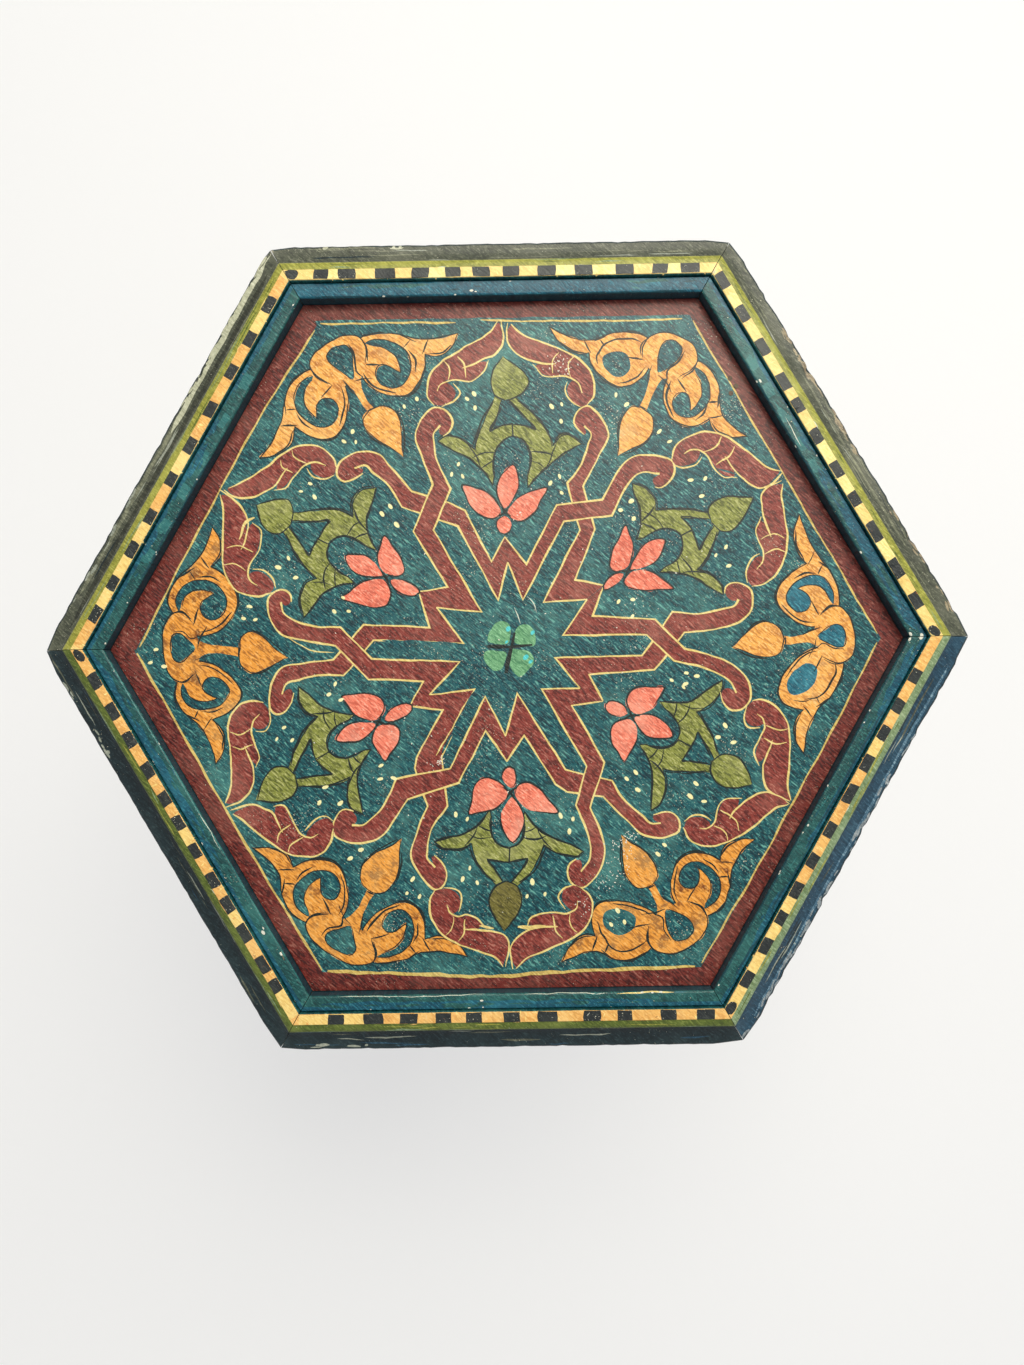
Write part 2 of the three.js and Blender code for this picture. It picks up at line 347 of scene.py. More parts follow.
# Meshes
def write_mesh(name, places, faces, paints, wear=None):
    """A closed mesh in metres from millimetres, each face in the paint named for it."""
    mesh = bpy.data.meshes.new(name)
    mesh.from_pydata([tuple(MM * c for c in p) for p in places], [], faces)
    names = sorted(set(paints))
    for paint in names:
        mesh.materials.append(finish(paint))
    mesh.polygons.foreach_set("material_index", [names.index(paint) for paint in paints])
    if wear is not None:
        mesh.attributes.new("wear", "FLOAT", "POINT").data.foreach_set("value", wear)
    work = bmesh.new()
    work.from_mesh(mesh)
    bmesh.ops.delete(work, geom=[v for v in work.verts if not v.link_faces], context="VERTS")
    bmesh.ops.remove_doubles(work, verts=work.verts, dist=MERGED_WITHIN * MM)
    open_edges = [e for e in work.edges if e.is_boundary]
    if open_edges:
        capped = bmesh.ops.holes_fill(work, edges=open_edges, sides=0)["faces"]
        bmesh.ops.triangulate(work, faces=capped)
    bmesh.ops.recalc_face_normals(work, faces=work.faces)
    work.to_mesh(mesh)
    work.free()
    mesh.polygons.foreach_set("use_smooth", [True] * len(mesh.polygons))
    mesh.set_sharp_from_angle(angle=math.radians(CRISP_ANGLE))
    return mesh


def place_piece(mesh, node):
    """The mesh as a piece of the stool, in the place of the frame's node."""
    piece = bpy.data.objects.new(mesh.name, mesh)
    bpy.context.scene.collection.objects.link(piece)
    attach(piece, "root")
    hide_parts(node)


def join_loops(places, faces, loops):
    """Adds closed loops of equal count, the walls from each to the next, and a cap on the last."""
    first, count = len(places), len(loops[0])
    places.extend(point for loop in loops for point in loop)
    for start in range(first, len(places) - count, count):
        for n in range(count):
            a, b = start + n, start + (n + 1) % count
            faces.append((a, b, b + count, a + count))
    faces.append(tuple(range(len(places) - count, len(places))))


def to_side(places, angle):
    """From a side's frame (right, outwards, up) to the stool's."""
    places = np.asarray(places)
    return np.column_stack((turned(places[:, :2], angle), places[:, 2]))


def quarter(start, end, flat_first=True, steps=9):
    """A quarter turn between two places, without the first: flat and then steep, or the other way."""
    turns = np.arange(1, steps + 1) * math.pi / 2 / steps
    shares = np.column_stack((np.sin(turns), 1 - np.cos(turns)))
    if not flat_first:
        shares = shares[:, ::-1]
    return (start + (np.array(end) - start) * shares).tolist()


def pine_along(k):
    """The name of the pine whose grain runs along side k."""
    return f"turned_pine_{(90 - SIDE_ANGLES[k]) % 180}"


class Moulding:
    """A mitred length of side k unrolled flat: x runs along the side and y follows the profile.

    The profile is a closed list of (distance from the stool's axis, height), where y starts at its
    first point. Cross lines for its unevenness lie the spacing apart.
    """

    def __init__(self, k, profile, spacing):
        self.k = k
        self.profile = np.array(profile + profile[:1], float)
        steps = np.linalg.norm(np.diff(self.profile, axis=0), axis=1)
        self.run = np.concatenate(([0], np.cumsum(steps)))
        self.half = self.profile[:, 0] * TAN30 - MITRE_GAP
        self.design = Design()
        self.spacing = spacing

    def half_at(self, y):
        return np.interp(y, self.run, self.half)

    def near_mitre(self, x, y, width):
        return near(np.abs(x), self.half_at(y), width)

    def band(self, start, end, paint):
        """One paint from end to end between two places round the profile."""
        heights = np.array([start, *(y for y in self.run if start < y < end), end])
        halves = self.half_at(heights)
        right = np.column_stack((halves, heights))
        left = np.column_stack((-halves, heights))[::-1]
        self.design.fill(np.vstack((right, left)), paint, 0)

    def marks(self, count, places, lengths, heights, drift, step, paints, widths):
        """Thin brush marks along the length, each drawn by chance from the given ranges."""
        for _ in range(count):
            place, length, height = hand.uniform(*places), hand.uniform(*lengths), hand.uniform(*heights)
            line = straight([(place, height), (place + length, height + hand.uniform(-drift, drift))], step)
            paint = hand.choice(paints)
            width = hand.uniform(*widths) if len(widths) > 1 else widths[0]
            self.design.line(line, paint, width, 0.1, 0.1)

    def trim_to_mitres(self):
        """Draws in whatever was painted past the ends."""
        for outline, _ in self.design.shapes:
            half = self.half_at(outline[:, 1])
            outline[:, 0] = np.clip(outline[:, 0], -half, half)

    def bend_lines(self):
        """The profile's own corners, and cross lines for its unevenness."""
        for y, half in zip(self.run, self.half):
            self.design.crease(((-half, y), (half, y)))
        reach = self.half.min() - 1
        for x in np.linspace(-reach, reach, 2 * round(reach / self.spacing) + 1):
            self.design.crease(((x, 0), (x, self.run[-1])))

    def build(self, name, node, uneven):
        """uneven(x, y, out, up) moves the surface and returns out, up and wear."""
        self.trim_to_mitres()
        self.bend_lines()
        flat, faces, paints = cut_up(self.design)
        x, y = flat[:, 0], flat[:, 1]
        out, up = (np.interp(y, self.run, column) for column in self.profile.T)
        out, up, wear = uneven(x, y, out, up)
        mitre = out * TAN30 - MITRE_GAP
        places = to_side(np.column_stack((np.clip(x, -mitre, mitre), out, up)), SIDE_ANGLES[self.k])
        mesh = write_mesh(f"{name}_{self.k + 1}", places, faces, paints, wear)
        place_piece(mesh, f"{node}_{self.k + 1}")


# Motifs, in a sector's own frame: each is drawn once, then bent to where its landmarks fall on a side

# One entry a side: left notch, left tip, spike, right tip, right notch, peak of the star, in plan
STAR = (
    ((-6.5, 40), (-3.5, 21.3), (1.5, 39.5), (8.5, 21), (10.5, 38.5), (0, 52)),
    ((34, 30.5), (18.5, 20), (39.5, 20.8), (27.5, 3.7), (42, 13), (48, 27.5)),
    ((40, -15.5), (23.5, -7), (35.5, -22), (16.8, -22), (31.5, -30.5), (46.5, -28.5)),
    ((8, -44.5), (5, -24), (-1, -44.5), (-10.5, -25.5), (-10.5, -42), (-0.5, -57)),
    ((-31, -31.5), (-15.5, -22), (-37.5, -24), (-22.5, -8.3), (-40.5, -17.5), (-47, -29.5)),
    ((-37, 8.5), (-20.5, 0.5), (-33.5, 18.2), (-11.5, 15.5), (-28, 28), (-42, 26)),
)
# Where each side's arms bend: the outer and inner line of the right-hand and of the left-hand arm
RIGHT_BENDS = (
    ([(25.5, 67)], [(29, 59)]),
    ([(27, 68)], [(31, 60.5)]),
    ([(27, 69.5)], [(33, 63)]),
    ([(24, 67)], [(28, 60)]),
    ([(19.5, 66)], [(27, 59.5)]),
    ([(26, 66)], [(31, 57.5)]),
)
LEFT_BENDS = (
    ([(-19, 65), (-26, 68.8)], [(-22.5, 57.5)]),
    ([(-25.5, 65.5)], [(-29, 59)]),
    ([(-23.8, 68.8)], [(-27, 60.5)]),
    ([(-23, 68.5), (-28.5, 72.3)], [(-28, 61.5)]),
    ([(-25, 65.5), (-29, 69)], [(-31, 55)]),
    ([(-25.5, 65)], [(-29.7, 57)]),
)

# Left strap above its kink: outer line, inner line, and the landmarks that place both
STRAP_OUTER = [(-38.5, 77), (-44, 90), (-46.5, 101), (-44.3, 108.5), (-40, 114), (-33.5, 116.5),
               (-28.7, 113.5), (-27, 108), (-28.2, 104.2), (-31, 102)]
STRAP_INNER = [(-30, 76.5), (-36, 88), (-38, 98), (-37.5, 104.5), (-34.2, 109)]
CURL_END = [(-28.2, 104.2), (-30.6, 102.6), (-33.2, 103), (-34.6, 105.5), (-34.2, 109)]
# outer kink, inner kink, widest place, middle of the inner line, top, side of the curl, both ends
STRAP_MARKS = ((-38.5, 77), (-30, 76.5), (-46.5, 101), (-38, 98), (-33.5, 116.5), (-27, 108), (-34.2, 109),
               (-31, 102))
LEFT_STRAPS = (
    ((-34.3, 78), (-25.7, 75.7), (-42.5, 100), (-33.4, 98.8), (-33, 115.7), (-24.2, 108), (-30.3, 106.5),
     (-29.2, 101.4)),
    ((-36, 76), (-27, 76), (-46.2, 99), (-38, 97), (-34.3, 114.8), (-26.9, 108), (-32.3, 106.2),
     (-28.2, 100.8)),
    ((-40, 76.5), (-32.3, 75), (-44.6, 100), (-37.4, 99), (-33.5, 116.5), (-24.8, 110), (-33.4, 109),
     (-30, 102)),
    ((-39.5, 80), (-32.5, 78.5), (-46.2, 101.5), (-39.3, 100), (-34, 118.5), (-28, 110.5), (-34.6, 110.8),
     (-32.3, 104.6)),
    ((-40, 79.5), (-28.7, 79.2), (-48.9, 100.3), (-39.3, 100), (-37, 119), (-28.7, 111), (-37.2, 108.8),
     (-31.8, 105.2)),
    ((-41, 72), (-32, 74), (-49, 97), (-40, 98), (-37, 111.5), (-29.2, 106), (-35.4, 105.2), (-33, 101)),
)
RIGHT_STRAPS = (
    ((38.5, 76), (30.8, 77.5), (51.3, 100), (41.4, 97.5), (41.5, 115), (34.3, 107), (39.2, 105), (40, 101)),
    ((40, 77), (28, 77.2), (48.8, 100), (39.3, 99), (38.8, 115), (30.9, 108.5), (39.5, 107.5),
     (33.4, 103.5)),
    ((41.8, 77), (33, 77.2), (48.5, 101), (40.4, 99), (38.5, 117), (32.3, 109.5), (39.2, 107.2),
     (38, 102.6)),
    ((39.2, 78), (29.5, 78), (47.7, 101), (39.5, 99.5), (36.3, 118.6), (30.6, 110), (36, 107.2),
     (36.7, 101.8)),
    ((36.5, 75.7), (27, 75.5), (45.8, 98), (36.6, 97), (32.5, 114.2), (26.7, 108.5), (34.8, 105.5),
     (33, 100.3)),
    ((42.5, 76), (33.3, 76.5), (50.5, 98), (41, 98), (37.5, 113.5), (30.4, 107), (38.8, 105.7),
     (39.2, 101)),
)

# The half palm leaf on top of the left strap, and the line of its back
FEATHER_BACK = [(-7.5, 153), (-13, 150.3), (-19, 148), (-25, 145.5), (-31, 142.3), (-35.5, 138.3),
                (-39.2, 132.5), (-40, 127), (-38.6, 121)]
FEATHER_FILL = [(-3, 156.5), *FEATHER_BACK, (-34.5, 117), (-30, 116.5), (-26.5, 119), (-25.4, 123),
                (-27.5, 127), (-30, 128.8), (-27, 130), (-18, 130.4), (-11.5, 133), (-9.5, 136.5),
                (-14, 138), (-7.5, 140), (-2.5, 144.5), (-0.8, 150), (-3, 156.5)]
FEATHER_LINES = (
    [(-3, 157), *FEATHER_BACK, (-34.5, 116.8)],
    [(-1.2, 157.5), (-0.5, 150), (-2.5, 144.5), (-7.5, 140), (-14, 138), (-22, 137)],
    [(-9, 137.5), (-11, 132.8), (-18, 130), (-27, 130), (-32, 126.8), (-33, 122.5)],
    [(-26.5, 127.8), (-23.7, 122.5), (-26, 118), (-31, 115.8)],
    [(-31.5, 141), (-29, 138), (-28.3, 134), (-28.8, 130)],
    [(-24.5, 143.5), (-21.3, 139.5), (-20.3, 131.5)],
)
# tip, back, cheek, knot, throat, bend, lobe's tip, lobe's belly, hook, side of the bulb
FEATHER_MARKS = ((-3, 157), (-25, 145.5), (-40, 127), (-34.5, 116.8), (-0.5, 150), (-7.5, 140), (-9, 137),
                 (-18, 130), (-33, 122.5), (-23.7, 122.5))
LEFT_FEATHERS = (
    ((-1.5, 157.2), (-22, 142), (-36, 126), (-33, 116.5), (0.8, 149), (-4.5, 139.3), (-6.6, 138),
     (-15, 128), (-32, 123.4), (-20.3, 122)),
    ((-3.8, 157.2), (-26, 146), (-41, 126), (-35.4, 114.8), (-0.7, 149), (-6, 141), (-12.5, 136.8),
     (-20, 130.5), (-35, 121.5), (-27.5, 123)),
    ((-0.5, 157.5), (-25, 143.3), (-37, 126), (-33.8, 117.8), (0.4, 149), (-3.8, 140.3), (-8.8, 134.5),
     (-19, 129.5), (-29.5, 122.5), (-21.6, 122)),
    ((-2.5, 157), (-26, 144.5), (-39.8, 127), (-33.8, 118), (0.3, 148), (-7, 139.5), (-8, 136.3),
     (-18, 130.3), (-32.6, 124.5), (-23.4, 123)),
    ((-2.5, 156), (-26, 146.5), (-41, 127), (-34, 117.5), (-2.8, 148), (-9, 141.8), (-10, 135.7),
     (-19.2, 132.8), (-32.6, 125.5), (-25.4, 122.5)),
    ((-3.8, 157), (-26, 143.3), (-41, 123), (-33.5, 111.5), (-3, 150), (-8, 140), (-8, 136), (-18, 127),
     (-33.8, 119), (-26, 119.5)),
)
RIGHT_FEATHERS = (
    ((4.6, 155.2), (28.5, 142.8), (44.6, 126), (41, 115), (2.5, 150), (8.5, 139.8), (16.5, 134.8),
     (22.5, 129.7), (38.8, 121), (30.5, 122)),
    ((2.3, 155), (26, 143.5), (39, 125), (37.7, 116.5), (0, 148.5), (5, 141), (11.5, 136.5), (18, 131),
     (31, 123), (26.2, 122)),
    ((1.2, 157), (25, 144.5), (39.8, 126), (36, 117.8), (0.5, 148.5), (5.5, 140.5), (10.8, 135),
     (17.7, 127.8), (32, 125.5), (26.5, 122.5)),
    ((4, 156), (26, 144.5), (39.2, 127), (36.2, 118.5), (1.2, 147.5), (6, 139.5), (13.5, 136), (20.5, 131),
     (30.5, 126.3), (23, 122.3)),
    ((3.5, 156.5), (26, 140.5), (41, 126), (36.2, 115.7), (0.8, 150), (6, 138.5), (11.5, 133.8),
     (19, 129.8), (32, 120), (24, 121.5)),
    ((0.5, 155), (25, 140.8), (39.5, 124), (34, 113.2), (-2, 150), (6.5, 138.8), (11, 133.5), (20, 130.2),
     (32.8, 118.5), (25.5, 121)),
)

# Half of the green plant: the stem's inner edge, arch, oval, leaf's underside and top, the stem's outer edge
PLANT_RUNS = (
    [(-0.5, 119.5), (-6, 110), (-9.5, 104)],
    [(-9.5, 104), (-5, 105.6), (0, 106.3)],
    [(0, 100.6), (-4, 99.3), (-8, 95), (-9.8, 89), (-9.7, 84.5), (-11, 81)],
    [(-11, 81), (-16, 87.5), (-22, 92.3), (-29, 95.4), (-35, 98)],
    [(-35, 98), (-28.5, 101.7), (-22.5, 101), (-17.5, 96.5)],
    [(-17.5, 96.5), (-15.3, 102.5), (-11, 110), (-4.5, 119)],
)
PLANT_INKS = (
    [(-11, 81), (-16, 87.5), (-22, 92.3), (-29, 95.4), (-35, 98)],
    [(-35.5, 98.6), (-28.5, 102.2), (-22, 101.4), (-17.5, 97.3)],
    [(-18.3, 97), (-15.7, 103), (-11.4, 110.5), (-5.3, 117)],
    [(-1.5, 116.5), (-6.2, 109.5), (-9.7, 104.2), (-5, 105.8), (0, 106.5)],
    [(-20, 98.5), (-17.5, 93), (-16.5, 88.5)],
    [(-19.5, 92), (-15, 94), (-8, 94.5)],
    [(-16.5, 87.5), (-12.5, 90), (-8.7, 91.3)],
    [(-9.7, 84.5), (-9.5, 89), (-7.8, 95), (-4, 99.1), (0, 100.4)],
)
# base, both shoulders, arch, oval, both tips, both leaf tops, both undersides, both feet
PLANT_MARKS = ((0, 117), (-15.3, 102.5), (15.3, 102.5), (0, 106.3), (0, 100.6), (-35, 98), (35, 98),
               (-25, 101.8), (25, 101.8), (-22, 92.3), (22, 92.3), (-11, 81), (11, 81))
PLANTS = (
    ((1.5, 118), (-12, 101), (22, 101.8), (5, 106.5), (4.5, 101), (-31.5, 98.8), (38.5, 96.5), (-24, 101),
     (29, 101.3), (-17.7, 91), (28.5, 91), (-5.4, 77.2), (11.5, 75.7)),
    ((0.8, 115.7), (-14.2, 103), (15, 103), (-0.8, 105.7), (-1.5, 99.5), (-35.4, 92.6), (33.8, 102.6),
     (-27.7, 97.5), (25.4, 103), (-23.8, 89.5), (20.8, 95.7), (-10.8, 80.3), (8.5, 81.8)),
    ((1.5, 114.2), (-13, 102.5), (13.5, 102), (0, 102.6), (0, 95), (-35.4, 100.3), (36.2, 100.3),
     (-27.7, 101.8), (27, 102.2), (-20.8, 92.6), (20.8, 92.6), (-11.8, 78.8), (11.5, 80.3)),
    ((1.5, 115), (-14.5, 103.5), (16.8, 103), (0, 105.7), (0, 98.5), (-35.8, 101), (36, 95.4),
     (-29.2, 102.6), (28.5, 98.8), (-20.8, 94.2), (22.3, 91.8), (-7.7, 81.8), (9.2, 80.3)),
    ((-2.3, 120.3), (-16.3, 103), (14.7, 103), (-0.8, 108), (-0.8, 100.3), (-35, 101.8), (33.8, 97),
     (-27, 105), (23.8, 100.3), (-19.2, 95.7), (20.8, 92.6), (-10, 82.6), (8.5, 81)),
    ((0, 119.5), (-14.5, 103.5), (17, 103), (0, 104.2), (0.5, 98.8), (-36.6, 91.8), (35.7, 91.8),
     (-25.4, 99.2), (28.5, 98.5), (-22.3, 89.5), (20.8, 88.8), (-10, 78.8), (9.2, 77.2)),
)
BUD = [(0.8, 140), (-2.8, 136), (-6.8, 130.5), (-8, 125), (-5.5, 119.5), (0.4, 117), (6, 119.5), (8.8, 125),
       (7.4, 130.5), (4, 136), (0.8, 140)]
# tip, left, bottom, right
BUD_MARKS = ((0.8, 140), (-8, 125), (0.4, 117), (8.8, 125))
BUDS = (
    ((0.8, 139.5), (-5.4, 127), (1.5, 118), (13, 127)),
    ((0.8, 139.5), (-7.7, 122), (0.8, 115.7), (9.2, 122)),
    ((1.5, 137.2), (-6.5, 123.4), (1.5, 114.2), (9.5, 123.4)),
    ((3, 138.8), (-5.7, 123.4), (1.5, 115), (10.3, 123.4)),
    ((-3, 142.6), (-10.5, 127.2), (-2.3, 120.3), (6.5, 127.2)),
    ((0, 138.8), (-8.5, 126.5), (0, 119.5), (9.5, 126.5)),
)

# The coral flower round its joint: long, right-hand, left-hand and small petal
PETAL_TOP = [(-0.2, 2.2), (-3.6, 7), (-5, 12.5), (-3.8, 18.5), (-0.3, 22.8), (3.2, 18.5), (4.8, 12.5),
             (3.4, 7), (-0.2, 2.2)]
PETAL_RIGHT = [(1.6, 0.6), (4.5, -4.2), (9.8, -5), (14.5, -0.5), (16.8, 6), (18.8, 12.6), (13.6, 11.3),
               (8, 9.3), (4, 5.6), (1.6, 0.6)]
PETAL_SMALL = [(0, -2), (-2.9, -4.6), (-3.5, -8.4), (-1.8, -12.4), (0.4, -13.3), (2.5, -11.8), (3.5, -8),
               (2.6, -4.4), (0, -2)]
# joint, long petal's tip, right tip, left tip, right belly, left belly, small petal's end
FLOWER_MARKS = ((0, 0), (-0.3, 22.8), (18.8, 12.6), (-18.8, 12.6), (9.8, -5), (-9.8, -5), (0.4, -13.3))
FLOWERS = (
    ((0, 63.4), (4.6, 87.2), (21, 75.7), (-20, 77.5), (10, 59.8), (-10, 61.8), (0, 53.2)),
    ((0, 68), (-3.8, 92.3), (18.5, 83.4), (-19.5, 79.5), (7, 65), (-7, 62.6), (1.5, 54.2)),
    ((0.8, 69.5), (0, 92.3), (22, 78), (-18.8, 77.2), (11.5, 64.6), (-7.7, 63.4), (2.3, 56.2)),
    ((-1.5, 71.8), (-1.5, 96.5), (19.2, 82.2), (-23.8, 81.8), (11.5, 64.6), (-9.2, 67.2), (-0.8, 59.5)),
    ((-1.2, 71.8), (2.3, 95), (19.2, 81.4), (-18.2, 79.5), (8.5, 65.7), (-10, 65.7), (-2.3, 54.2)),
    ((0, 66.5), (-0.8, 88.8), (17.4, 77.2), (-19.5, 80.3), (7, 60.3), (-11.5, 59.5), (1.5, 48.8)),
)

# The orange palmette of a corner: the right-hand ring, then the middle
TEARDROP = [(0, 107), (-3, 112.5), (-6.8, 118.5), (-8.2, 125), (-5.8, 131), (-1, 132.6), (5.8, 131),
            (8.2, 125), (6.8, 118.5), (3, 112.5), (0, 107)]
OMEGA = [(-10, 152.5), (-13, 158), (-12.8, 164.5), (-8, 170), (0, 171.6), (8, 170), (13, 164.5),
         (13.5, 158), (10, 152.5), (4.5, 150), (0, 148), (-4.5, 150), (-10, 152.5)]
DROP = [(0, 150.8), (-3.2, 155.5), (-5.2, 160.5), (-4.4, 165.3), (0, 167.4), (4.5, 165.3), (5.4, 160.5),
        (3.3, 155.5), (0, 150.8)]
RING = [(8, 158), (14, 163.3), (20, 164.8), (26, 163), (31.5, 159.3), (36.5, 153.8), (43, 149.6), (50, 147),
        (56.5, 145.3)]
RING_TAIL = [(56.5, 145.3), (51, 142.2), (45, 141.2), (40, 142.5), (35.8, 146)]
RING_UNDER = [(35.8, 146), (33.2, 140.8), (28.5, 136.6), (22, 134.4), (15.5, 135.2), (10, 139),
              (6.3, 144.5), (5, 151), (8, 158)]
OPEN_HOLE = [(14.2, 159.6), (20, 160.9), (25.8, 158.3), (29.6, 153), (29.8, 146.5), (27, 141.4),
             (22, 138.7), (17, 139.1), (13.2, 142.2), (13.2, 146.2), (17, 148.9), (20.8, 148),
             (23.4, 145.4), (24.7, 143.6), (25.8, 147.5), (25, 152.2), (21.3, 156.4), (16.2, 158.2),
             (14.2, 159.6)]
ROUND_HOLE = [(12.6, 145), (14.6, 149.6), (19.6, 151.6), (25, 149.8), (27.6, 145.4), (26, 140.6),
              (20.5, 138.2), (14.8, 140.2), (12.6, 145)]
RING_GROOVE = [(14, 158.6), (20, 160.4), (26.4, 158.2), (30.6, 153), (30.8, 147)]
RING_INKS = (
    [(30, 152.3), (34, 154.8)], [(31, 160.2), (35.6, 152.6)], [(34.5, 146.3), (40.5, 150.6)],
    [(37, 145.3), (43.5, 142), (50, 142.3)], [(6.8, 150), (8.2, 144.5), (12, 139.6), (17.5, 136.2)],
    [(31, 151), (31.5, 146), (29.5, 141.5)], [(9, 152.5), (14, 150.5), (17.5, 149.4)],
    [(26.8, 163.4), (21, 165.2), (14.8, 163.8)], [(33.8, 141.6), (28.8, 136.2), (22, 133.8), (15.4, 134.6)],
)
MIDDLE_INKS = (
    [(6.2, 164.5), (6, 158), (3.5, 153), (5.5, 149)], [(-4.5, 152.5), (-3.6, 147.5), (-2, 143)],
    [(13.6, 163.5), (14, 158), (11.5, 153)], [(-13, 163), (-13.6, 158), (-11, 153.2)],
    [(9, 126), (7.6, 118.5), (4, 112), (1.2, 108)], [(-9, 125.5), (-7.4, 118.5), (-3.6, 112.5)],
    [(-2.2, 133), (2.4, 133)], [(0, 150), (5, 148.7), (10, 146)],
)
# omega's top and sides, the drop's ends, ring tops, wing tips, notches, ring bottoms,
# holes (right before left), teardrop
PALMETTE_MARKS = ((0, 171.6), (-13, 161), (13, 161), (0, 167.4), (0, 150.8), (20, 164.8), (-20, 164.8),
                  (56.5, 145.3), (-56.5, 145.3), (35.8, 146), (-35.8, 146), (22, 134.4), (-22, 134.4),
                  (20, 144), (-20, 144), (0, 107), (-8.2, 125), (8.2, 125), (0, 132.6))
PALMETTES = (
    ((1.2, 171.3), (-12.1, 162), (13.5, 163.3), (0.5, 168.4), (0.9, 150.7), (21.2, 164.9), (-17.5, 162.7),
     (53.2, 144.7), (-56.4, 144.7), (33.2, 143), (-33.5, 143), (21.2, 134), (-17.5, 135.3), (19.2, 143),
     (-20.1, 144.7), (2.9, 105.6), (-4.1, 124), (12.1, 124.7), (2.5, 132)),
    ((-0.7, 169), (-15.6, 160), (11.1, 162), (-0.7, 164), (-0.9, 150.7), (18, 162), (-22, 161.3),
     (55.3, 143), (-60.7, 143), (34, 143), (-36.7, 146), (24.7, 131.3), (-20.7, 131), (19.3, 142),
     (-20, 142.3), (3.3, 109), (-9, 126), (8.4, 126.7), (0.7, 134.7)),
    ((0, 171.3), (-15.5, 160.7), (13.9, 160.7), (-2.1, 167), (-0.4, 149.7), (23.9, 162.3), (-22.8, 162.7),
     (55.9, 146), (-54.8, 142.7), (35.6, 143.3), (-34.8, 142.7), (25.2, 130.7), (-20.1, 132), (22.5, 142.7),
     (-19.5, 142), (-0.4, 107.6), (-7.1, 127.3), (7.9, 127.3), (0, 136.7)),
    ((-0.7, 172.7), (-18.7, 164.7), (18, 163.3), (0, 169.3), (-0.9, 156), (26, 164.7), (-23.3, 163.3),
     (58.7, 146), (-57.3, 141), (37.3, 144.7), (-35.3, 143.6), (20.7, 133), (-20.7, 132.3), (18, 144),
     (-18.7, 142.7), (-1.6, 107), (-9, 126.7), (8.4, 128), (-1.3, 137)),
    ((0, 166.3), (-15.9, 158), (17.2, 159.3), (0, 162.7), (0.1, 150.7), (22.5, 164), (-21.5, 161),
     (59.2, 142), (-56.1, 141.3), (39.9, 142.7), (-34.8, 142.7), (22.5, 129.7), (-21.5, 128.7),
     (21.2, 142.7), (-20.1, 142), (-5.2, 106), (-12.1, 124.7), (8.1, 124), (-1.7, 129.3)),
    ((0, 170), (-12.5, 162), (15.3, 162.7), (2, 166.7), (2.3, 148), (20.7, 162.7), (-20.7, 163.3),
     (57.6, 142), (-56.4, 139), (38.7, 141.3), (-34, 143), (21.3, 128.4), (-19.3, 129), (18, 141.3),
     (-18, 142.3), (3.7, 103.3), (-5, 124.7), (12, 124.7), (2, 131.3)),
)
ROUND_HOLED = ((0, -1), (1, 1), (2, 1))  # corner number and hand of the rings whose hole is closed

SIDE_DOTS = (
    ((-17.5, 119.5), (-13.5, 121.5), (-13, 114.5), (24, 114.5), (29, 116), (28, 108), (-22, 88),
     (-25.5, 83), (-19.5, 81.5), (27, 81), (23, 77.5), (28, 73)),
    ((-19, 124), (-22.5, 117.5), (-12.5, 118), (14.5, 115.5), (23, 112), (15.5, 109.5), (-20.5, 84),
     (-28, 87.5), (-27.5, 81), (13, 63.5), (10.5, 57.5), (20, 59.5)),
    ((-11.5, 119.5), (-17, 111.5), (-10.5, 111.5), (20, 121), (14.5, 113.5), (21.5, 114), (-23.5, 85),
     (-30, 83), (-23.5, 78.5), (24, 85), (30.5, 90), (28.5, 83)),
    ((-17, 121.5), (-8, 122), (-11, 115), (16, 115), (23, 113.5), (19, 108.5), (-29, 91), (-31, 85),
     (-25, 83.5), (20, 84.5), (26, 82)),
    ((-19.5, 117), (-24.5, 108.5), (-14.5, 111), (18, 119), (13.5, 113), (20.5, 113), (-24.5, 86),
     (-20, 82), (-28, 80), (23, 86), (17.5, 82.5), (25.5, 81)),
    ((-21.5, 115), (-15, 112.5), (-21.5, 105), (16, 123), (21.5, 121), (17, 116), (-27, 80.5), (-23, 74.5),
     (-19, 80), (26, 83), (31, 81.5), (25, 74.5)),
)
CORNER_DOTS = (
    ((-12.5, 131.5), (-5, 130), (15, 126.5), (22, 124.5)),
    ((17, 92), (21, 86.5), (15.5, 87)),
    ((-11, 125), (-16, 123), (20, 145), (26, 142), (20, 138)),
    ((-17, 129), (-22.5, 127), (-16, 121.5), (15, 127.5), (13, 121.5)),
    ((-6, 173), (0, 170), (-8, 166), (14, 127), (20, 124.5), (14, 121.5)),
    ((-17, 125), (-11, 127), (-12, 121.5), (17, 124.5), (24, 124)),
)

FLOWER_CROSS = ([(-3.2, -2.6), (0.2, 0.4), (2.2, 4)], [(3.2, -2.2), (0.4, 0.3), (-2, 4.6)])
STEM = [(-1.8, 131.5), (-1.7, 140), (-2.5, 147), (-7, 155)]  # left edge of the palmette's stem

